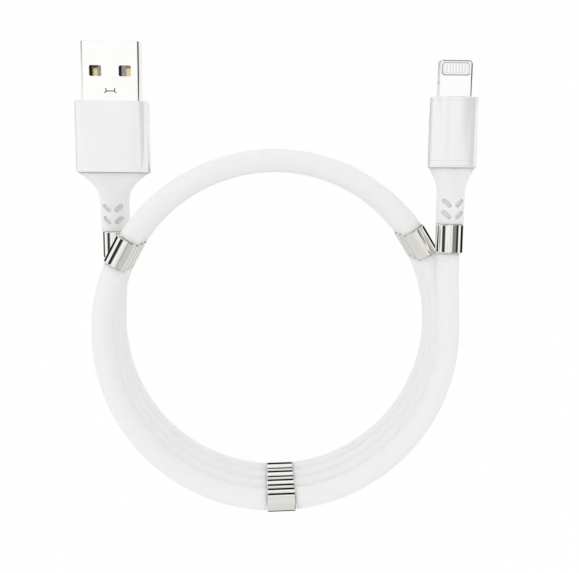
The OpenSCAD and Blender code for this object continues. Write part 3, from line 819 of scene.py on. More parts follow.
@dataclass(frozen=True)
class Coil:
    """The cord's route: out of the charger plug, round the coil and into the phone plug."""

    cord: float = 4.4 * MM
    core: float = 2.2 * MM
    radius: float = 35 * MM
    first_bearing: float = 272
    spacing: float = 120
    sleeves: int = 10
    climbs: int = 3
    sleeve_length: float = 6 * MM
    seat_gap: float = 0.05 * MM
    charger_inset: float = 0.35 * MM
    phone_inset: float = 0.5 * MM
    start: float = 180
    finish: float = 1440
    lift: float = LIFT
    core_in: float = 1.2 * MM
    shoulder: float = 0.15 * MM
    step: float = 2.5
    level_margin: float = 1
    run_steps: int = 16
    shoulder_steps: int = 3
    sides: int = 40
    sharp: float = 50

    @property
    def centre(self) -> Vector:
        """The coil's middle, from three magnets that stand a third of a turn apart."""
        places = [middle(f"ring_magnet_{k}") for k in (1, 2, 3)]
        return Vector((sum(p.x for p in places) / 3, sum(p.y for p in places) / 3, 0))

    @property
    def bottom(self) -> float:
        """Height of the lowest turn's middle."""
        return middle("ring_magnet_1").z

    @property
    def pitch(self) -> float:
        """Height from one turn to the next."""
        return (middle(f"ring_magnet_{self.sleeves}").z - self.bottom) / self.climbs

    @property
    def dwell(self) -> float:
        """Level coil on either side of a sleeve's middle, in degrees."""
        half = self.sleeve_length / 2 + self.seat_gap
        return math.degrees(math.asin(half / self.radius)) + self.level_margin

    def height(self, bearing: float) -> float:
        """Height of the cord's middle: level at the sleeves, and climbing between them.

        Args:
            bearing: where on the coil, in degrees that run on from turn to turn.

        Returns:
            The height.
        """
        turns = sum(
            smooth((bearing - self.first_bearing - self.spacing - 360 * j - self.dwell)
                   / (self.spacing - 2 * self.dwell))
            for j in range(self.climbs))
        return self.bottom + self.pitch * turns

    def place(self, bearing: float) -> Vector:
        """The cord's middle on the coil.

        Args:
            bearing: where, in degrees that run on from turn to turn.

        Returns:
            The place.
        """
        angle = math.radians(bearing)
        flat = self.centre + self.radius * Vector((math.cos(angle), math.sin(angle), 0))
        return Vector((flat.x, flat.y, self.height(bearing)))

    def bearing_of(self, number: int) -> float:
        """Bearing of a sleeve, which are counted from 1 at the charger plug."""
        return self.first_bearing + self.spacing * (number - 1)

    def necked(self, at: Callable[[float], tuple[Vector, float]], before: float, after: float,
               ) -> list[Ring]:
        """Rings where the cord steps down to its core, or back, round a sleeve or a plug.

        Args:
            at: gives the cord's middle and bearing at a distance along it.
            before: where the full cord ends or the core starts.
            after: where the other begins; the full cord lies on the side away from it.

        Returns:
            Rings from the full cord's rounded shoulder down to its core.
        """
        back = math.copysign(self.shoulder, before - after)
        full, thin, round_off = self.cord / 2, self.core / 2, self.shoulder
        rings = []
        for i in range(self.shoulder_steps + 1):
            angle = math.radians(90 * i / self.shoulder_steps)
            here, bearing = at(before + back * (1 - math.sin(angle)))
            rings.append(Ring(here, bearing, full - round_off * (1 - math.cos(angle))))
        here, bearing = at(before)
        rings.append(Ring(here, bearing, blend(full, thin, 0.5)))
        rings.append(Ring(here, bearing, thin))
        return rings

    def charger_rings(self) -> list[Ring]:
        """Rings on the cord's straight way to the charger plug.

        Returns:
            The rings, from inside the plug back to the coil.
        """
        centre = self.centre
        run = length_y("charger_end_sleeve")[0] - self.seat_gap - centre.y
        relief = length_y("charger_strain_relief")
        relief_start = relief[0] - centre.y
        lift_end = relief_start + self.lift * (relief[1] - relief[0])
        end = length_y("charger_plug_housing")[0] + self.core_in - centre.y
        end_z = middle("charger_end_sleeve").z
        plug_z = middle("charger_plug_housing").z

        def at(y: float) -> tuple[Vector, float]:
            """The cord's middle and bearing here.

            Args:
                y: how far ahead of the coil's middle.

            Returns:
                The place, and the bearing of the cord's section.
            """
            share = smooth(y / (run - self.cord))
            height = blend(self.bottom, end_z, share)
            if y > relief_start:
                height = blend(end_z, plug_z,
                               smooth((y - relief_start) / (lift_end - relief_start)))
            across = -self.radius + self.charger_inset * share
            return centre + Vector((across, y, height)), self.start

        full, thin, steps = self.cord / 2, self.core / 2, self.run_steps
        rings = [Ring(*at(blend(end, run, i / steps)), thin) for i in range(steps)]
        rings += reversed(self.necked(at, run, end))
        rings += [Ring(*at((run - self.cord) * (1 - i / steps)), full) for i in range(steps)]
        return rings

    def coil_rings(self) -> list[Ring]:
        """Rings round the coil, where the cord narrows to its core inside each sleeve.

        Returns:
            The rings, from the charger plug's side to the phone plug's.
        """
        def at(length: float) -> tuple[Vector, float]:
            """The cord's middle and bearing at a distance round the coil."""
            bearing = math.degrees(length / self.radius)
            return self.place(bearing), bearing

        full, thin = self.cord / 2, self.core / 2
        degree = math.radians(1) * self.radius
        half = self.sleeve_length / 2 + self.seat_gap
        rings = []
        bearing = self.start
        for number in range(1, self.sleeves + 2):
            stop = self.bearing_of(number) if number <= self.sleeves else self.finish
            edge = stop * degree - half if number <= self.sleeves else stop * degree
            count = max(1, round((edge / degree - bearing) / self.step))
            rings += [Ring(*at(blend(bearing * degree, edge, i / count)), full)
                      for i in range(0 if number == 1 else 1, count)]
            if number <= self.sleeves:
                rings += self.necked(at, edge, edge + half)
                rings += [Ring(*at(stop * degree), thin)]
                rings += reversed(self.necked(at, stop * degree + half, stop * degree))
                bearing = stop + half / degree
        return rings

    def phone_rings(self) -> list[Ring]:
        """Rings on the cord's straight way to the phone plug.

        Returns:
            The rings, from the coil to inside the plug.
        """
        centre = self.centre
        run = length_y("phone_end_sleeve")[0] - self.seat_gap - centre.y
        end = length_y("phone_plug_housing")[0] + self.core_in - centre.y
        top = middle("phone_end_sleeve").z

        def at(y: float) -> tuple[Vector, float]:
            """The cord's middle and bearing, y ahead of the coil's middle."""
            across = self.radius - self.phone_inset * smooth(y / (run - self.cord))
            return centre + Vector((across, y, top)), self.finish

        full, thin, steps = self.cord / 2, self.core / 2, self.run_steps
        rings = [Ring(*at((run - self.cord) * i / steps), full) for i in range(steps + 1)]
        rings += self.necked(at, run, end)
        rings += [Ring(*at(blend(run, end, i / steps)), thin) for i in range(1, steps + 1)]
        return rings

    def make_cord(self) -> tuple[bpy.types.Object, list[Vector]]:
        """Builds the cord in one unbroken length.

        Returns:
            The cord, and the line that its middle follows.
        """
        rings = self.charger_rings() + self.coil_rings() + self.phone_rings()
        piece = finish_mesh(wrap([ring.points(self.sides) for ring in rings]),
                            "cord_jacket", SILICONE.make(), self.sharp)
        seat(piece, "cord")
        line = [rings[0].middle]
        for ring in rings[1:]:
            if (ring.middle - line[-1]).length > NEAR:
                line.append(ring.middle)
        return piece, line


# ---- magnet sleeves ----


@dataclass(frozen=True)
class Sleeves:
    """The steel sleeves: ten on the coil and one at each plug."""

    coil: Coil
    wall: float = 0.2 * MM
    rim: float = 0.24 * MM
    bore: float = BORE
    rim_steps: int = 5
    steps: int = 96

    def profile(self, diameter: float, length: float) -> list[Point]:
        """A sleeve's section, with rounded rims turned in at both ends.

        Args:
            diameter, length: its outer sizes.

        Returns:
            The section's points as radius and height, in order.
        """
        r, h = diameter / 2, length / 2
        points = [(self.bore, -h)]
        for i in range(self.rim_steps + 1):
            angle = math.radians(90 * i / self.rim_steps)
            points.append((r - self.rim * (1 - math.sin(angle)),
                           -h + self.rim * (1 - math.cos(angle))))
        points.append((r, -h + SUPPORT * self.rim))
        points += [(radius, -height) for radius, height in reversed(points)]
        inner = [(self.bore, h - self.wall), (r - self.wall, h - self.wall),
                 (r - self.wall, -h + self.wall), (self.bore, -h + self.wall)]
        return points + inner

    def make(self) -> list[bpy.types.Object]:
        """Builds all twelve sleeves where their nodes are.

        Returns:
            The ten on the coil in order, then the charger plug's and the phone plug's.
        """
        steel = POLISHED_STEEL.make()
        pieces = []
        for number in range(1, self.coil.sleeves + 1):
            node = f"magnet_sleeve_{number}"
            turn = Euler((math.pi / 2, 0, math.radians(self.coil.bearing_of(number))))
            low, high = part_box(node)
            pieces.append(self.sleeve(node, high.z - low.z, self.coil.sleeve_length,
                                      turn.to_matrix().to_4x4(), steel))
        for node in ("charger_end_sleeve", "phone_end_sleeve"):
            low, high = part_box(node)
            turn = Matrix.Rotation(math.pi / 2, 4, "X")
            pieces.append(self.sleeve(node, high.z - low.z, high.y - low.y, turn, steel))
        return pieces

    def sleeve(self, node: str, diameter: float, length: float, turn: Matrix,
               steel: bpy.types.Material) -> bpy.types.Object:
        """Builds one sleeve in place of its node.

        Args:
            node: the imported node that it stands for.
            diameter, length: its outer sizes.
            turn: turns it from Z to where the cord runs.
            steel: its finish.

        Returns:
            The new sleeve.
        """
        mesh = turned(self.profile(diameter, length), self.steps)
        bmesh.ops.transform(mesh, matrix=Matrix.Translation(middle(node)) @ turn,
                            verts=mesh.verts)
        piece = finish_mesh(mesh, f"{node}_steel", steel)
        seat(piece, node)
        return piece


# ---- strain reliefs ----


@dataclass(frozen=True)
class Relief:
    """A moulded strain relief: a slotted neck that flares into its plug's housing."""

    node: str
    width: float
    thick: float
    corner: float
    neck_width: float
    neck_thick: float
    flare_start: float
    flare_power: float
    slot_back: float
    slot_rows: float
    drop: float = 0.0
    bore: float = BORE
    lip: float = 0.2 * MM
    lift: float = LIFT
    slot_width: float = 0.9 * MM
    slot_length: float = 2.1 * MM
    slot_depth: float = 0.55 * MM
    slot_columns: float = 2.5 * MM
    slot_slant: float = 45
    slot_edge: float = 0.16 * MM
    fine: float = 0.075 * MM
    coarse: float = 0.3 * MM
    flank: float = 0.08
    corner_steps: int = 24
    bore_steps: int = 12
    sharp: float = 60

    def slot_share(self, x: float, y: float) -> float:
        """How deep the surface lies in a slot.

        Args:
            x: how far to the right of the relief's middle.
            y: how far along the relief.

        Returns:
            The share of the slots' depth, from 0 outside to 1 on a slot's floor.
        """
        reach = self.slot_width / 2
        half = self.slot_length / 2 - reach
        nearest = math.inf
        for row in (0, 1):
            for column in (-1, 1):
                slant = math.radians(-column * self.slot_slant)
                dx = x - column * self.slot_columns / 2
                dy = y - self.slot_back - row * self.slot_rows
                along = -dx * math.sin(slant) + dy * math.cos(slant)
                side = dx * math.cos(slant) + dy * math.sin(slant)
                past = max(0.0, abs(along) - half)
                nearest = min(nearest, math.hypot(past, side) - reach)
        return smooth(-nearest / self.slot_edge)

    def spots(self, length: float) -> list[float]:
        """Where the relief's sections are, close together at its slots.

        Args:
            length: the relief's length.

        Returns:
            The sections' distances along it.
        """
        margin = self.slot_length / 2 + self.fine
        bounds = (0.0, self.slot_back - margin, self.slot_back + self.slot_rows + margin, length)
        spots = [0.0]
        for start, end, step in zip(bounds, bounds[1:], (self.coarse, self.fine, self.coarse)):
            count = max(1, round((end - start) / step))
            spots += [blend(start, end, (i + 1) / count) for i in range(count)]
        return spots

    def shares(self) -> list[float]:
        """Where a section's points are, close together above and below, at the slots.

        Returns:
            The points' shares of the way round, from the middle of the right-hand flank.
        """
        girth = math.pi * self.neck_thick
        flank = self.flank
        shares = []
        for start, end, step in ((-flank, flank, self.coarse), (flank, 0.5 - flank, self.fine),
                                 (0.5 - flank, 0.5 + flank, self.coarse),
                                 (0.5 + flank, 1 - flank, self.fine)):
            count = max(1, round((end - start) * girth / step))
            shares += [blend(start, end, i / count) for i in range(count)]
        return shares

    def half_size(self, share: float, base: float, neck: float, power: float) -> float:
        """Half of a size at a share of the length: the neck's, then growing to the base's."""
        grown = max(0.0, (share - self.flare_start) / (1 - self.flare_start)) ** power
        return neck + (base - neck) * grown

    def outline(self, share: float) -> list[Point]:
        """The relief's section.

        Args:
            share: where, as a share of its length.

        Returns:
            The section's points as x and z.
        """
        a = self.half_size(share, self.width / 2 - self.lip, self.neck_width / 2, self.flare_power)
        b = self.half_size(share, self.thick / 2 - self.lip, self.neck_thick / 2, self.flare_power)
        corner = min(self.half_size(share, self.corner, min(a, b), 1), a, b)
        return rounded_rect(2 * a, 2 * b, corner, self.corner_steps)

    def make(self) -> bpy.types.Object:
        """Builds the relief in place of its node.

        Returns:
            The new relief.
        """
        start, end = length_y(self.node)
        length = end - start
        base = middle(self.node.replace("strain_relief", "plug_housing"))
        shares = self.shares()

        def axis_at(y: float) -> Vector:
            """The relief's middle line at a distance along it."""
            rise = smooth(y / (self.lift * length))
            return Vector((base.x, 0, base.z - self.drop * (1 - rise)))

        sections = []
        for y in self.spots(length):
            points = []
            for x, z in spaced(self.outline(y / length), shares):
                depth = self.slot_depth * self.slot_share(x, y)
                points.append((x, z - math.copysign(depth, z)))
            sections.append(section_at(points, axis_at(y), start + y))
        bore = spaced(rounded_rect(2 * self.bore, 2 * self.bore, self.bore), shares)
        for i in range(self.bore_steps, -1, -1):
            y = length * i / self.bore_steps
            sections.append(section_at(bore, axis_at(y), start + y))
        piece = finish_mesh(wrap(sections, closed_along=True), f"{self.node}_moulding",
                            RELIEF_RUBBER.make(), self.sharp)
        # each point's depth in a slot, which the relief's material turns into painted shade
        recess = piece.data.attributes.new(RECESS, "FLOAT", "POINT")
        recess.data.foreach_set("value", [self.slot_share(vert.co.x - base.x, vert.co.y - start)
                                          for vert in piece.data.vertices])
        seat(piece, self.node)
        return piece


# ---- plugs ----


@dataclass(frozen=True)
class Slice:
    """The outline of a hollow piece at a place along it."""

    y: float
    width: float
    thick: float
    radius: float
    crown: float = 0.0

    def grown(self, by: float, y: float) -> "Slice":
        """The same outline, larger by this much all round, at another place."""
        return Slice(y, self.width + 2 * by, self.thick + 2 * by, max(self.radius + by, 0.0),
                     self.crown)

    def outline(self, corner: int) -> list[Point]:
        """The points of the outline: a rounded box, or with a crown a full, domed oval.

        Args:
            corner: steps round each corner.

        Returns:
            The points, in the same number and order for both forms.
        """
        if not self.crown:
            return rounded_rect(self.width, self.thick, self.radius, corner)
        count = 4 * (corner + 2)
        points = []
        for i in range(count):
            angle = math.tau * i / count
            x, z = (math.copysign(abs(part) ** (2 / self.crown), part)
                    for part in (math.cos(angle), math.sin(angle)))
            points.append((x * self.width / 2, z * self.thick / 2))
        return points


def eased(first: Slice, end: float, rim: float, steps: int = 5) -> list[Slice]:
    """Slices of a straight piece with rounded rims.

    Args:
        first: the piece's full outline, at its start.
        end: where the piece ends.
        rim: the radius of its rims.
        steps: steps round each rim.

    Returns:
        The slices, from the start to the end.
    """
    angles = [math.pi / 2 * i / steps for i in range(steps + 1)]
    back = [first.grown(-rim * (1 - math.sin(a)), first.y + rim * (1 - math.cos(a)))
            for a in angles] + [first.grown(0, first.y + SUPPORT * rim)]
    front = [first.grown(s.width / 2 - first.width / 2, end - (s.y - first.y))
             for s in reversed(back)]
    return back + front


def shell_of(slices: Sequence[Slice], axis: Vector, name: str, material: bpy.types.Material,
             corner: int = 10) -> bpy.types.Object:
    """A closed skin through slices.

    Args:
        slices: the outlines, which run forwards outside and back inside.
        axis: a place on the middle line.
        name: the new piece's name.
        material: its finish.
        corner: steps round each corner of an outline.

    Returns:
        The new piece.
    """
    sections = [section_at(s.outline(corner), axis, s.y) for s in slices]
    return finish_mesh(wrap(sections, closed_along=True), name, material)


@dataclass(frozen=True)
class ChargerPlug:
    """The flat rectangular charger plug: a relief, a glossy housing and a steel shell."""

    housing_wall: float = 0.95 * MM
    front_wall: float = 1.2 * MM
    corner: float = 2.2 * MM
    rim: float = 0.2 * MM
    fit: float = 0.05 * MM
    neck_width: float = 6.1 * MM
    neck_thick: float = 5.6 * MM
    flare_start: float = 0.5
    flare_power: float = 2.3
    slot_back: float = 2.35 * MM
    slot_rows: float = 2.6 * MM
    shell_wall: float = 0.3 * MM
    shell_corner: float = 0.42 * MM
    shell_rim: float = 0.1 * MM
    rim_steps: int = 3
    window: tuple[float, float] = (2.5 * MM, 2.2 * MM)
    window_corner: float = 0.35 * MM
    window_x: float = 3.05 * MM
    window_back: float = 6.0 * MM
    key_width: float = 1.6 * MM
    key_arm: float = 0.6 * MM
    key_slit: float = 0.2 * MM
    key_ahead: float = 2.0 * MM
    key_leans: tuple[float, ...] = (15, 130)
    key_steps: int = 2

    def make(self) -> list[bpy.types.Object]:
        """Builds the charger plug.

        Returns:
            The relief, the housing and the shell.
        """
        low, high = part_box("charger_plug_housing")
        drop = middle("charger_plug_housing").z - middle("charger_end_sleeve").z
        relief = Relief("charger_strain_relief", high.x - low.x, high.z - low.z, self.corner,
                        self.neck_width, self.neck_thick, self.flare_start, self.flare_power,
                        self.slot_back, self.slot_rows, drop)
        return [relief.make(), self.housing(), self.shell()]

    def housing(self) -> bpy.types.Object:
        """Builds the glossy cover, open at the back and fitted to the shell in front.

        Returns:
            The new housing.
        """
        node = "charger_plug_housing"
        low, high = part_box(node)
        shell_low, shell_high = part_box("charger_plug_shell")
        outside = Slice(low.y, high.x - low.x, high.z - low.z, self.corner)
        opening = Slice(high.y, shell_high.x - shell_low.x, shell_high.z - shell_low.z,
                        self.shell_corner).grown(self.fit, high.y)
        room = outside.grown(-self.housing_wall, high.y - self.front_wall)
        slices = [*eased(outside, high.y, self.rim), opening,
                  opening.grown(0, high.y - self.front_wall), room, room.grown(0, low.y)]
        piece = shell_of(slices, middle(node), "charger_housing_cover", HOUSING_PLASTIC.make())
        seat(piece, node)
        return piece

    def shell(self) -> bpy.types.Object:
        """Builds the steel shell, with its four windows and its seam's key.

        Returns:
            The new shell.
        """
        node = "charger_plug_shell"
        low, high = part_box(node)
        outside = Slice(low.y, high.x - low.x, high.z - low.z, self.shell_corner)
        inside = outside.grown(-self.shell_wall, high.y)
        slices = [*eased(outside, high.y, self.shell_rim, self.rim_steps), inside,
                  inside.grown(0, low.y)]
        piece = shell_of(slices, middle(node), "charger_shell_steel", SHELL_STEEL.make())
        cut(piece, self.windows(low, high) + self.key(high.z, (high.z - low.z) / 2))
        soften(piece)
        seat(piece, node)
        return piece

    def windows(self, low: Vector, high: Vector) -> list[bmesh.types.BMesh]:
        """Cuts the windows, two of them through both faces.

        Args:
            low, high: the corners of the shell's box.

        Returns:
            The cutters.
        """
        centre = (low + high) / 2
        size = Vector((*self.window, 2 * (high.z - low.z)))
        return [rounded_block(size, Vector((centre.x + side * self.window_x,
                                            high.y - self.window_back, centre.z)),
                              self.window_corner)
                for side in (-1, 1)]

    def key(self, top: float, deep: float) -> list[bmesh.types.BMesh]:
        """Cuts the seam's key: a slit across, with leaning arms at both ends.

        Args:
            top: height of the shell's upper face.
            deep: how deep the cutters are, half of it above the face.

        Returns:
            The cutters.
        """
        corner = self.key_slit / 4
        front = length_y("charger_plug_housing")[1] + self.key_ahead
        place = Vector((middle("charger_plug_shell").x, front, top))
        cutters = [rounded_block(Vector((self.key_width, self.key_slit, deep)), place, corner,
                                 self.key_steps)]
        for end in (-1, 1):
            for lean in self.key_leans:
                arm = rounded_block(Vector((self.key_slit, self.key_arm, deep)),
                                    Vector((0, self.key_arm / 2, 0)), corner, self.key_steps)
                bmesh.ops.rotate(arm, verts=arm.verts, cent=(0, 0, 0),
                                 matrix=Matrix.Rotation(math.radians(-end * lean), 3, "Z"))
                bmesh.ops.translate(arm, verts=arm.verts,
                                    vec=place + Vector((end * self.key_width / 2, 0, 0)))
                cutters.append(arm)
        return cutters


@dataclass(frozen=True)
class PhonePlug:
    """The slim phone plug: a relief, a glossy housing and a steel tab."""

    wall: float = 0.85 * MM
    front_wall: float = 0.9 * MM
    rim: float = 0.2 * MM
    fit: float = 0.05 * MM
    crown: float = 2.7
    neck: float = 5.5 * MM
    flare_start: float = 0.6
    flare_power: float = 1.5
    slot_back: float = 1.8 * MM
    slot_rows: float = 2.3 * MM
    grooves: tuple[float, ...] = (0.35 * MM, 1.3 * MM)
    front_groove: float = 0.8 * MM
    groove_width: float = 0.12 * MM
    groove_side: float = 0.024 * MM
    groove_depth: float = 0.08 * MM
    corner_steps: int = 20
    tip_corner: float = 0.8 * MM
    tip_steps: int = 8
    edge_round: float = 0.36 * MM
    edge_steps: int = 6
    window: tuple[float, float] = (5.2 * MM, 2.2 * MM)
    window_corner: float = 0.5 * MM
    window_back: float = 0.65 * MM
    window_edge: float = 0.2 * MM
    slit: tuple[float, float] = (5 * MM, 0.9 * MM)
    slit_corner: float = 0.1 * MM
    slit_steps: int = 2
    notch_radius: float = 0.45 * MM
    notch_depth: float = 0.15 * MM
    notch_back: float = 4.4 * MM
    notch_sides: int = 32

    def make(self) -> list[bpy.types.Object]:
        """Builds the phone plug.

        Returns:
            The relief, the housing and the tab.
        """
        low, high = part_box("phone_plug_housing")
        thick = high.z - low.z
        relief = Relief("phone_strain_relief", high.x - low.x, thick, thick / 2,
                        self.neck, self.neck, self.flare_start, self.flare_power,
                        self.slot_back, self.slot_rows)
        return [relief.make(), self.housing(), self.tab()]

    def housing(self) -> bpy.types.Object:
        """Builds the glossy cover, with its fine grooves, open at the back.

        Returns:
            The new housing.
        """
        node = "phone_plug_housing"
        low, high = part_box(node)
        tab_low, tab_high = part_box("phone_plug_tab")
        thick = high.z - low.z
        outside = Slice(low.y, high.x - low.x, thick, thick / 2, self.crown)
        slices = eased(outside, high.y, self.rim)
        places = [low.y + g for g in self.grooves] + [high.y - self.front_groove]
        for start in places:
            end = start + self.groove_width
            floor = (start + self.groove_side, end - self.groove_side)
            slices += [outside.grown(0, start), outside.grown(-self.groove_depth, floor[0]),
                       outside.grown(-self.groove_depth, floor[1]), outside.grown(0, end)]
        slices = sorted((s for s in slices if s.y < high.y), key=lambda s: s.y) + [
            s for s in slices if s.y >= high.y]
        opening = Slice(high.y, tab_high.x - tab_low.x, tab_high.z - tab_low.z,
                        thick).grown(self.fit, high.y)
        room = outside.grown(-self.wall, high.y - self.front_wall)
        slices += [opening, opening.grown(0, high.y - self.front_wall), room,
                   room.grown(0, low.y)]
        piece = shell_of(slices, middle(node), "phone_housing_cover", HOUSING_PLASTIC.make(),
                         self.corner_steps)
        seat(piece, node)
        return piece

    def tab(self) -> bpy.types.Object:
        """Builds the steel tab, rounded all round, with its window and its two notches.

        Returns:
            The new tab.
        """
        node = "phone_plug_tab"
        low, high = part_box(node)
        mesh = rounded_block(high - low, middle(node), self.tip_corner, self.tip_steps)
        edges = [e for e in mesh.edges if e.calc_face_angle(0) > math.radians(SHARP)
                 and abs(e.verts[0].co.z - e.verts[1].co.z) < NEAR]
        bmesh.ops.bevel(mesh, geom=edges, offset=self.edge_round, segments=self.edge_steps,
                        profile=0.5, affect="EDGES", offset_type="OFFSET", material=-1)
        piece = finish_mesh(mesh, "phone_tab_steel", TAB_STEEL.make())
        cut(piece, self.openings(low, high) + self.notches(low, high))
        soften(piece)
        seat(piece, node)
        return piece

    def openings(self, low: Vector, high: Vector) -> list[bmesh.types.BMesh]:
        """Cuts the window, its chamfers on both faces and the slit behind it.

        Args:
            low, high: the corners of the tab's box.

        Returns:
            The cutters.
        """
        centre = (low + high) / 2
        width, length = self.window
        place = Vector((centre.x, high.y - self.window_back - length / 2, centre.z))
        cutters = [rounded_block(Vector((width, length, 2 * (high.z - low.z))), place,
                                 self.window_corner)]
        grown = Vector((1 + 4 * self.window_edge / width, 1 + 4 * self.window_edge / length, 1))
        for face in (low.z, high.z):
            edge = Vector((centre.x, place.y, face))
            wide = rounded_block(Vector((width, length, 2 * self.window_edge)), edge,
                                 self.window_corner)
            outer = [v for v in wide.verts if (v.co.z - face) * (face - centre.z) > 0]
            bmesh.ops.scale(wide, verts=outer, space=Matrix.Translation(-edge), vec=grown)
            cutters.append(wide)
        across, deep = self.slit
        cutters.append(rounded_block(
            Vector((across, place.y - low.y + MM, deep)),
            Vector((centre.x, (place.y + low.y - MM) / 2, centre.z)), self.slit_corner,
            self.slit_steps))
        return cutters

    def notches(self, low: Vector, high: Vector) -> list[bmesh.types.BMesh]:
        """Cuts the notches, one in each side.

        Args:
            low, high: the corners of the tab's box.

        Returns:
            The cutters.
        """
        centre = (low + high) / 2
        reach = (high.x - low.x) / 2 + self.notch_radius - self.notch_depth
        cutters = []
        for side in (-1, 1):
            notch = bmesh.new()
            bmesh.ops.create_cone(notch, cap_ends=True, segments=self.notch_sides,
                                  radius1=self.notch_radius, radius2=self.notch_radius,
                                  depth=2 * (high.z - low.z))
            bmesh.ops.translate(notch, verts=notch.verts, vec=Vector((
                centre.x + side * reach, high.y - self.notch_back, centre.z)))
            cutters.append(notch)
        return cutters


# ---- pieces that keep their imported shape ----


@dataclass(frozen=True)
class InnerPieces:
    """The magnets, moulds, contacts, wires and board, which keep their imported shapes."""

    coil: Coil
    # painted shade: where dark bands cross the insulator beside each window, and their colour
    painted_shade_bands: tuple[tuple[float, float], ...] = ((-5.2 * MM, -4.1 * MM), (1.3 * MM, 2.0 * MM))
    insulator: Colour = screen(246, 240, 243)
    insulator_painted_shade: Colour = screen(62, 58, 46)
    wires: tuple[Colour, ...] = (screen(176, 36, 32), screen(226, 226, 220),
                                 screen(42, 126, 66), screen(36, 36, 38))
    charger_wire_step: float = 2.4 * MM
    phone_wire_step: float = 1.2 * MM

    def make(self) -> list[bpy.types.Object]:
        """Dresses each node.

        Returns:
            The nodes' own objects.
        """
        alloy, mould, gold = MAGNET_ALLOY.make(), INNER_PLASTIC.make(), GOLD_PLATE.make()
        insulator = Insulator("insulator_with_painted_shade", middle("charger_plug_insulator").x,
                              self.painted_shade_bands, self.insulator, self.insulator_painted_shade).make()
        charger_wires = Wires("charger_wires", middle("charger_plug_wires").x, self.wires,
                              self.charger_wire_step).make()
        phone_wires = Wires("phone_wires", middle("phone_plug_wires").x, self.wires,
                            self.phone_wire_step).make()
        finishes = {f"ring_magnet_{k}": alloy for k in range(1, self.coil.sleeves + 1)}
        finishes |= {
            "charger_end_magnet": alloy, "phone_end_magnet": alloy,
            "charger_plug_inner_mould": mould, "phone_plug_inner_mould": mould,
            "charger_plug_insulator": insulator, "phone_plug_insert": WHITE_INSERT.make(),
            "charger_plug_contacts": gold, "phone_plug_contacts": PALE_GOLD.make(),
            "charger_plug_wires": charger_wires, "phone_plug_wires": phone_wires,
            "phone_plug_board": LAMINATE.make(), "phone_plug_chip": CHIP_PLASTIC.make(),
            "phone_plug_capacitors": CERAMIC.make(),
        }
        for node, material in finishes.items():
            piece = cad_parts[node]
            piece.data.materials.clear()
            piece.data.materials.append(material)
        return [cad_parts[node] for node in finishes]


# ---- studio ----


Stops = tuple[tuple[float, float], ...]


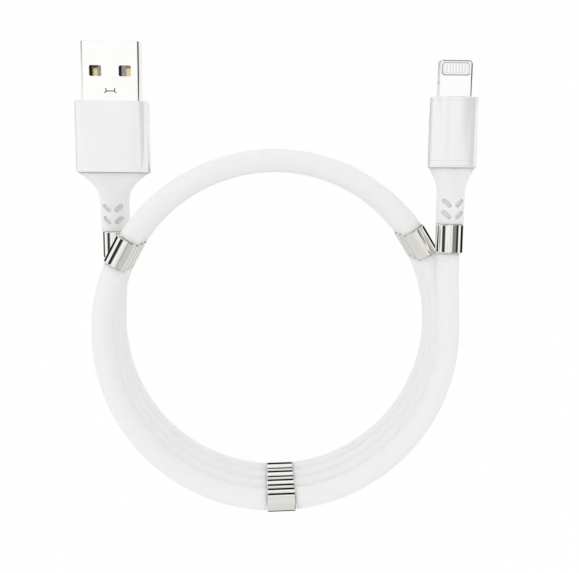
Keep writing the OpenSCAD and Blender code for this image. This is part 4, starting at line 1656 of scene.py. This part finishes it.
@dataclass(frozen=True)
class Studio:
    """A white room with soft light all round, and dark panels for polished metal to mirror.

    Each wall is given by stops: pairs of height, from -1 straight down to 1 straight up, and
    level. The front and back ones fill a narrow strip, and the others go round from +X.
    """

    floor_size: float = 4.0
    floor_colour: Colour = screen(252, 252, 252)
    floor_roughness: float = 0.9
    floor_gloss: float = 0.1
    base: float = 0.875
    overhead: tuple[float, float, float] = (-0.06, 0.05, 0.06)
    floor_glow: float = 0.96
    table_glow: float = 0.6
    plain: Stops = ((-1.0, 0.95), (1.0, 1.0))
    left: Stops = ((-0.42, 0.02), (-0.36, 1.0), (0.24, 1.0), (0.3, 0.03), (0.64, 0.06),
                   (0.76, 0.97))
    front_left: Stops = ((0.0, 0.74), (0.92, 0.76), (0.96, 0.97))
    near_left: Stops = ((-0.2, 0.9), (-0.1, 0.05), (0.84, 0.05), (0.9, 0.97))
    front_right: Stops = ((-0.88, 1.0), (-0.7, 0.66), (0.9, 0.6), (0.92, 0.2), (0.94, 0.2),
                          (0.96, 1.0))
    right: Stops = ((-0.16, 0.01), (-0.1, 1.0), (0.31, 1.0), (0.36, 0.02), (0.62, 0.03),
                    (0.7, 0.26), (0.955, 0.24), (0.97, 0.97))
    flank: Stops = ((-0.8, 0.02), (-0.7, 1.0), (0.05, 1.0), (0.15, 0.02), (0.55, 0.02),
                    (0.97, 1.0))
    side: Stops = ((-0.4, 0.9), (-0.3, 0.02), (0.84, 0.02), (0.97, 1.0))
    beside: Stops = ((-0.94, 0.9), (-0.9, 0.01), (-0.22, 0.01), (-0.16, 1.0), (0.14, 1.0),
                     (0.2, 0.12), (0.3, 0.34), (0.4, 0.08), (0.5, 0.34), (0.6, 0.08), (0.7, 0.28),
                     (0.8, 0.08), (0.92, 0.06), (0.95, 1.0))
    far_left: Stops = ((-0.46, 0.3), (-0.4, 1.0))
    tip: Stops = ((-0.3, 0.9), (-0.2, 0.25), (0.82, 0.25), (0.88, 1.0))
    back_left: Stops = ((-0.26, 0.01), (-0.2, 1.0), (0.35, 1.0), (0.41, 0.02), (0.76, 0.04),
                        (0.88, 0.7), (0.94, 0.97))
    front: Stops = ((-0.4, 0.05), (-0.33, 0.72), (0.9, 0.76), (1.0, 0.8))
    back: Stops = ((-0.99, 0.95), (-0.98, 0.01), (-0.66, 0.01), (-0.6, 1.0), (0.0, 1.0),
                   (0.05, 0.01), (0.38, 0.02), (0.42, 1.0), (0.5, 1.0), (0.6, 0.76), (1.0, 0.8))
    strip: float = 0.11
    strip_edge: float = 0.01
    strip_turn: float = 0.05
    blur: float = 1.0

    def make(self) -> None:
        """Builds the floor and the light."""
        self.make_world()
        self.make_floor()

    def walls(self) -> tuple[tuple[float, Stops], ...]:
        """The walls in order of the bearings at which they start."""
        return ((-180, self.left), (-170, self.front_left), (-100, self.near_left),
                (-60, self.front_right), (-30, self.right), (-1, self.flank),
                (6.7, self.side), (14.5, self.beside), (28, self.tip), (85, self.plain),
                (114, self.tip), (150, self.plain), (158, self.back_left),
                (170, self.far_left))

    def along(self, graph: Graph, ray: Socket, direction: Sequence[float]) -> Socket:
        """How far a ray points along a direction.

        Args:
            graph: the world's node tree.
            ray: the socket with the ray.
            direction: the direction, which needn't have a length of 1.

        Returns:
            The dot product's socket.
        """
        node = graph.add("ShaderNodeVectorMath", operation="DOT_PRODUCT")
        node.inputs[1].default_value = direction
        graph.join(ray, node.inputs[0])
        return node.outputs["Value"]

    def make_world(self) -> None:
        """Lights the cable from all sides, and shows white to the camera."""
        world = bpy.data.worlds.new("studio")
        bpy.context.scene.world = world
        graph = Graph(world)
        ray = graph.add("ShaderNodeTexCoord").outputs["Generated"]
        light, mirrored, white = (graph.add("ShaderNodeBackground") for _ in range(3))
        for shader in (light, mirrored, white):
            shader.inputs["Color"].default_value = (1, 1, 1, 1)
        graph.join(graph.spread(self.along(graph, ray, self.overhead),
                                self.base - 1, self.base + 1, -1, 1), light.inputs["Strength"])
        graph.join(self.mirrored(graph, ray), mirrored.inputs["Strength"])
        path = graph.add("ShaderNodeLightPath")
        lit = graph.mix(path.outputs["Is Glossy Ray"], light.outputs[0], mirrored.outputs[0])
        seen = graph.mix(path.outputs["Is Camera Ray"], lit, white.outputs[0])
        graph.join(seen, graph.tree.nodes["World Output"].inputs["Surface"])

    def mirrored(self, graph: Graph, ray: Socket) -> Socket:
        """How bright the room is along a ray, as polished metal mirrors it.

        Args:
            graph: the world's node tree.
            ray: the socket with the ray.

        Returns:
            The level's socket.
        """
        across, ahead, up = (self.along(graph, ray, axis) for axis in Matrix.Identity(3))
        height = graph.spread(up, 0, 1, -1, 1)

        def level(stops: Stops) -> Socket:
            """How bright one wall is at the ray's height."""
            return graph.level(height, [((z + 1) / 2, value) for z, value in stops])

        bearing = graph.math("ARCTAN2", ahead, across)
        (_, first), *others = self.walls()
        wall = level(first)
        for start, stops in others:
            past = graph.spread(bearing, 0, 1, math.radians(start - self.blur),
                                math.radians(start + self.blur))
            wall = graph.between(past, wall, level(stops))
        behind = graph.spread(ahead, 0, 1, -self.strip_turn, self.strip_turn)
        middle_strip = graph.between(behind, level(self.front), level(self.back))
        aside = graph.spread(graph.math("ABSOLUTE", across), 0, 1,
                             self.strip - self.strip_edge, self.strip + self.strip_edge)
        return graph.between(aside, middle_strip, wall)

    def make_floor(self) -> None:
        """Lays the table, white but for the cable's faint shadow; metal mirrors the room."""
        mesh = bmesh.new()
        bmesh.ops.create_grid(mesh, x_segments=1, y_segments=1, size=self.floor_size / 2)
        board = Board("pale_table")
        glow = board.add("ShaderNodeEmission")
        glow.inputs["Strength"].default_value = 1.0
        seen = board.add("ShaderNodeLightPath").outputs["Is Camera Ray"]
        board.join(board.mix(board.spread(seen, self.table_glow, self.floor_glow, 0, 1),
                             board.shader.outputs[0], glow.outputs[0]),
                   board.tree.nodes["Material Output"].inputs["Surface"])
        board.set(Base_Color=self.floor_colour, Roughness=self.floor_roughness,
                  Specular_IOR_Level=self.floor_gloss)
        floor = finish_mesh(mesh, "table", board.material)
        floor.visible_glossy = False
        floor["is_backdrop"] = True


# ---- the whole cable ----


def write_sizes() -> None:
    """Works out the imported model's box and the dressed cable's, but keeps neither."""
    def plain(box: tuple[Vector, Vector]) -> list[list[float]]:
        """A box as lists of numbers."""
        return [list(corner) for corner in box]

    {"cad": plain(CAD_BOX), "visual": plain(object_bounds())}


def main() -> None:
    """Builds the camera, the cable and the studio, and reports each piece."""
    logging.basicConfig(level=logging.INFO, format="%(message)s")
    bpy.context.scene.view_settings.view_transform = "Standard"
    Viewpoint().make()
    coil = Coil()
    cord, line = coil.make_cord()
    sleeves = Sleeves(coil).make()
    charger = ChargerPlug().make()
    phone = PhonePlug().make()
    inner = InnerPieces(coil).make()
    for piece in (cord, *sleeves, *charger, *phone, *inner):
        LOG.info("%s: %d faces", piece.name, len(piece.data.polygons))
    phone += [sleeves.pop()] + [piece for piece in inner if piece.name.startswith("phone")]
    Studio().make()
    write_sizes()


if __name__ == "__main__":
    main()
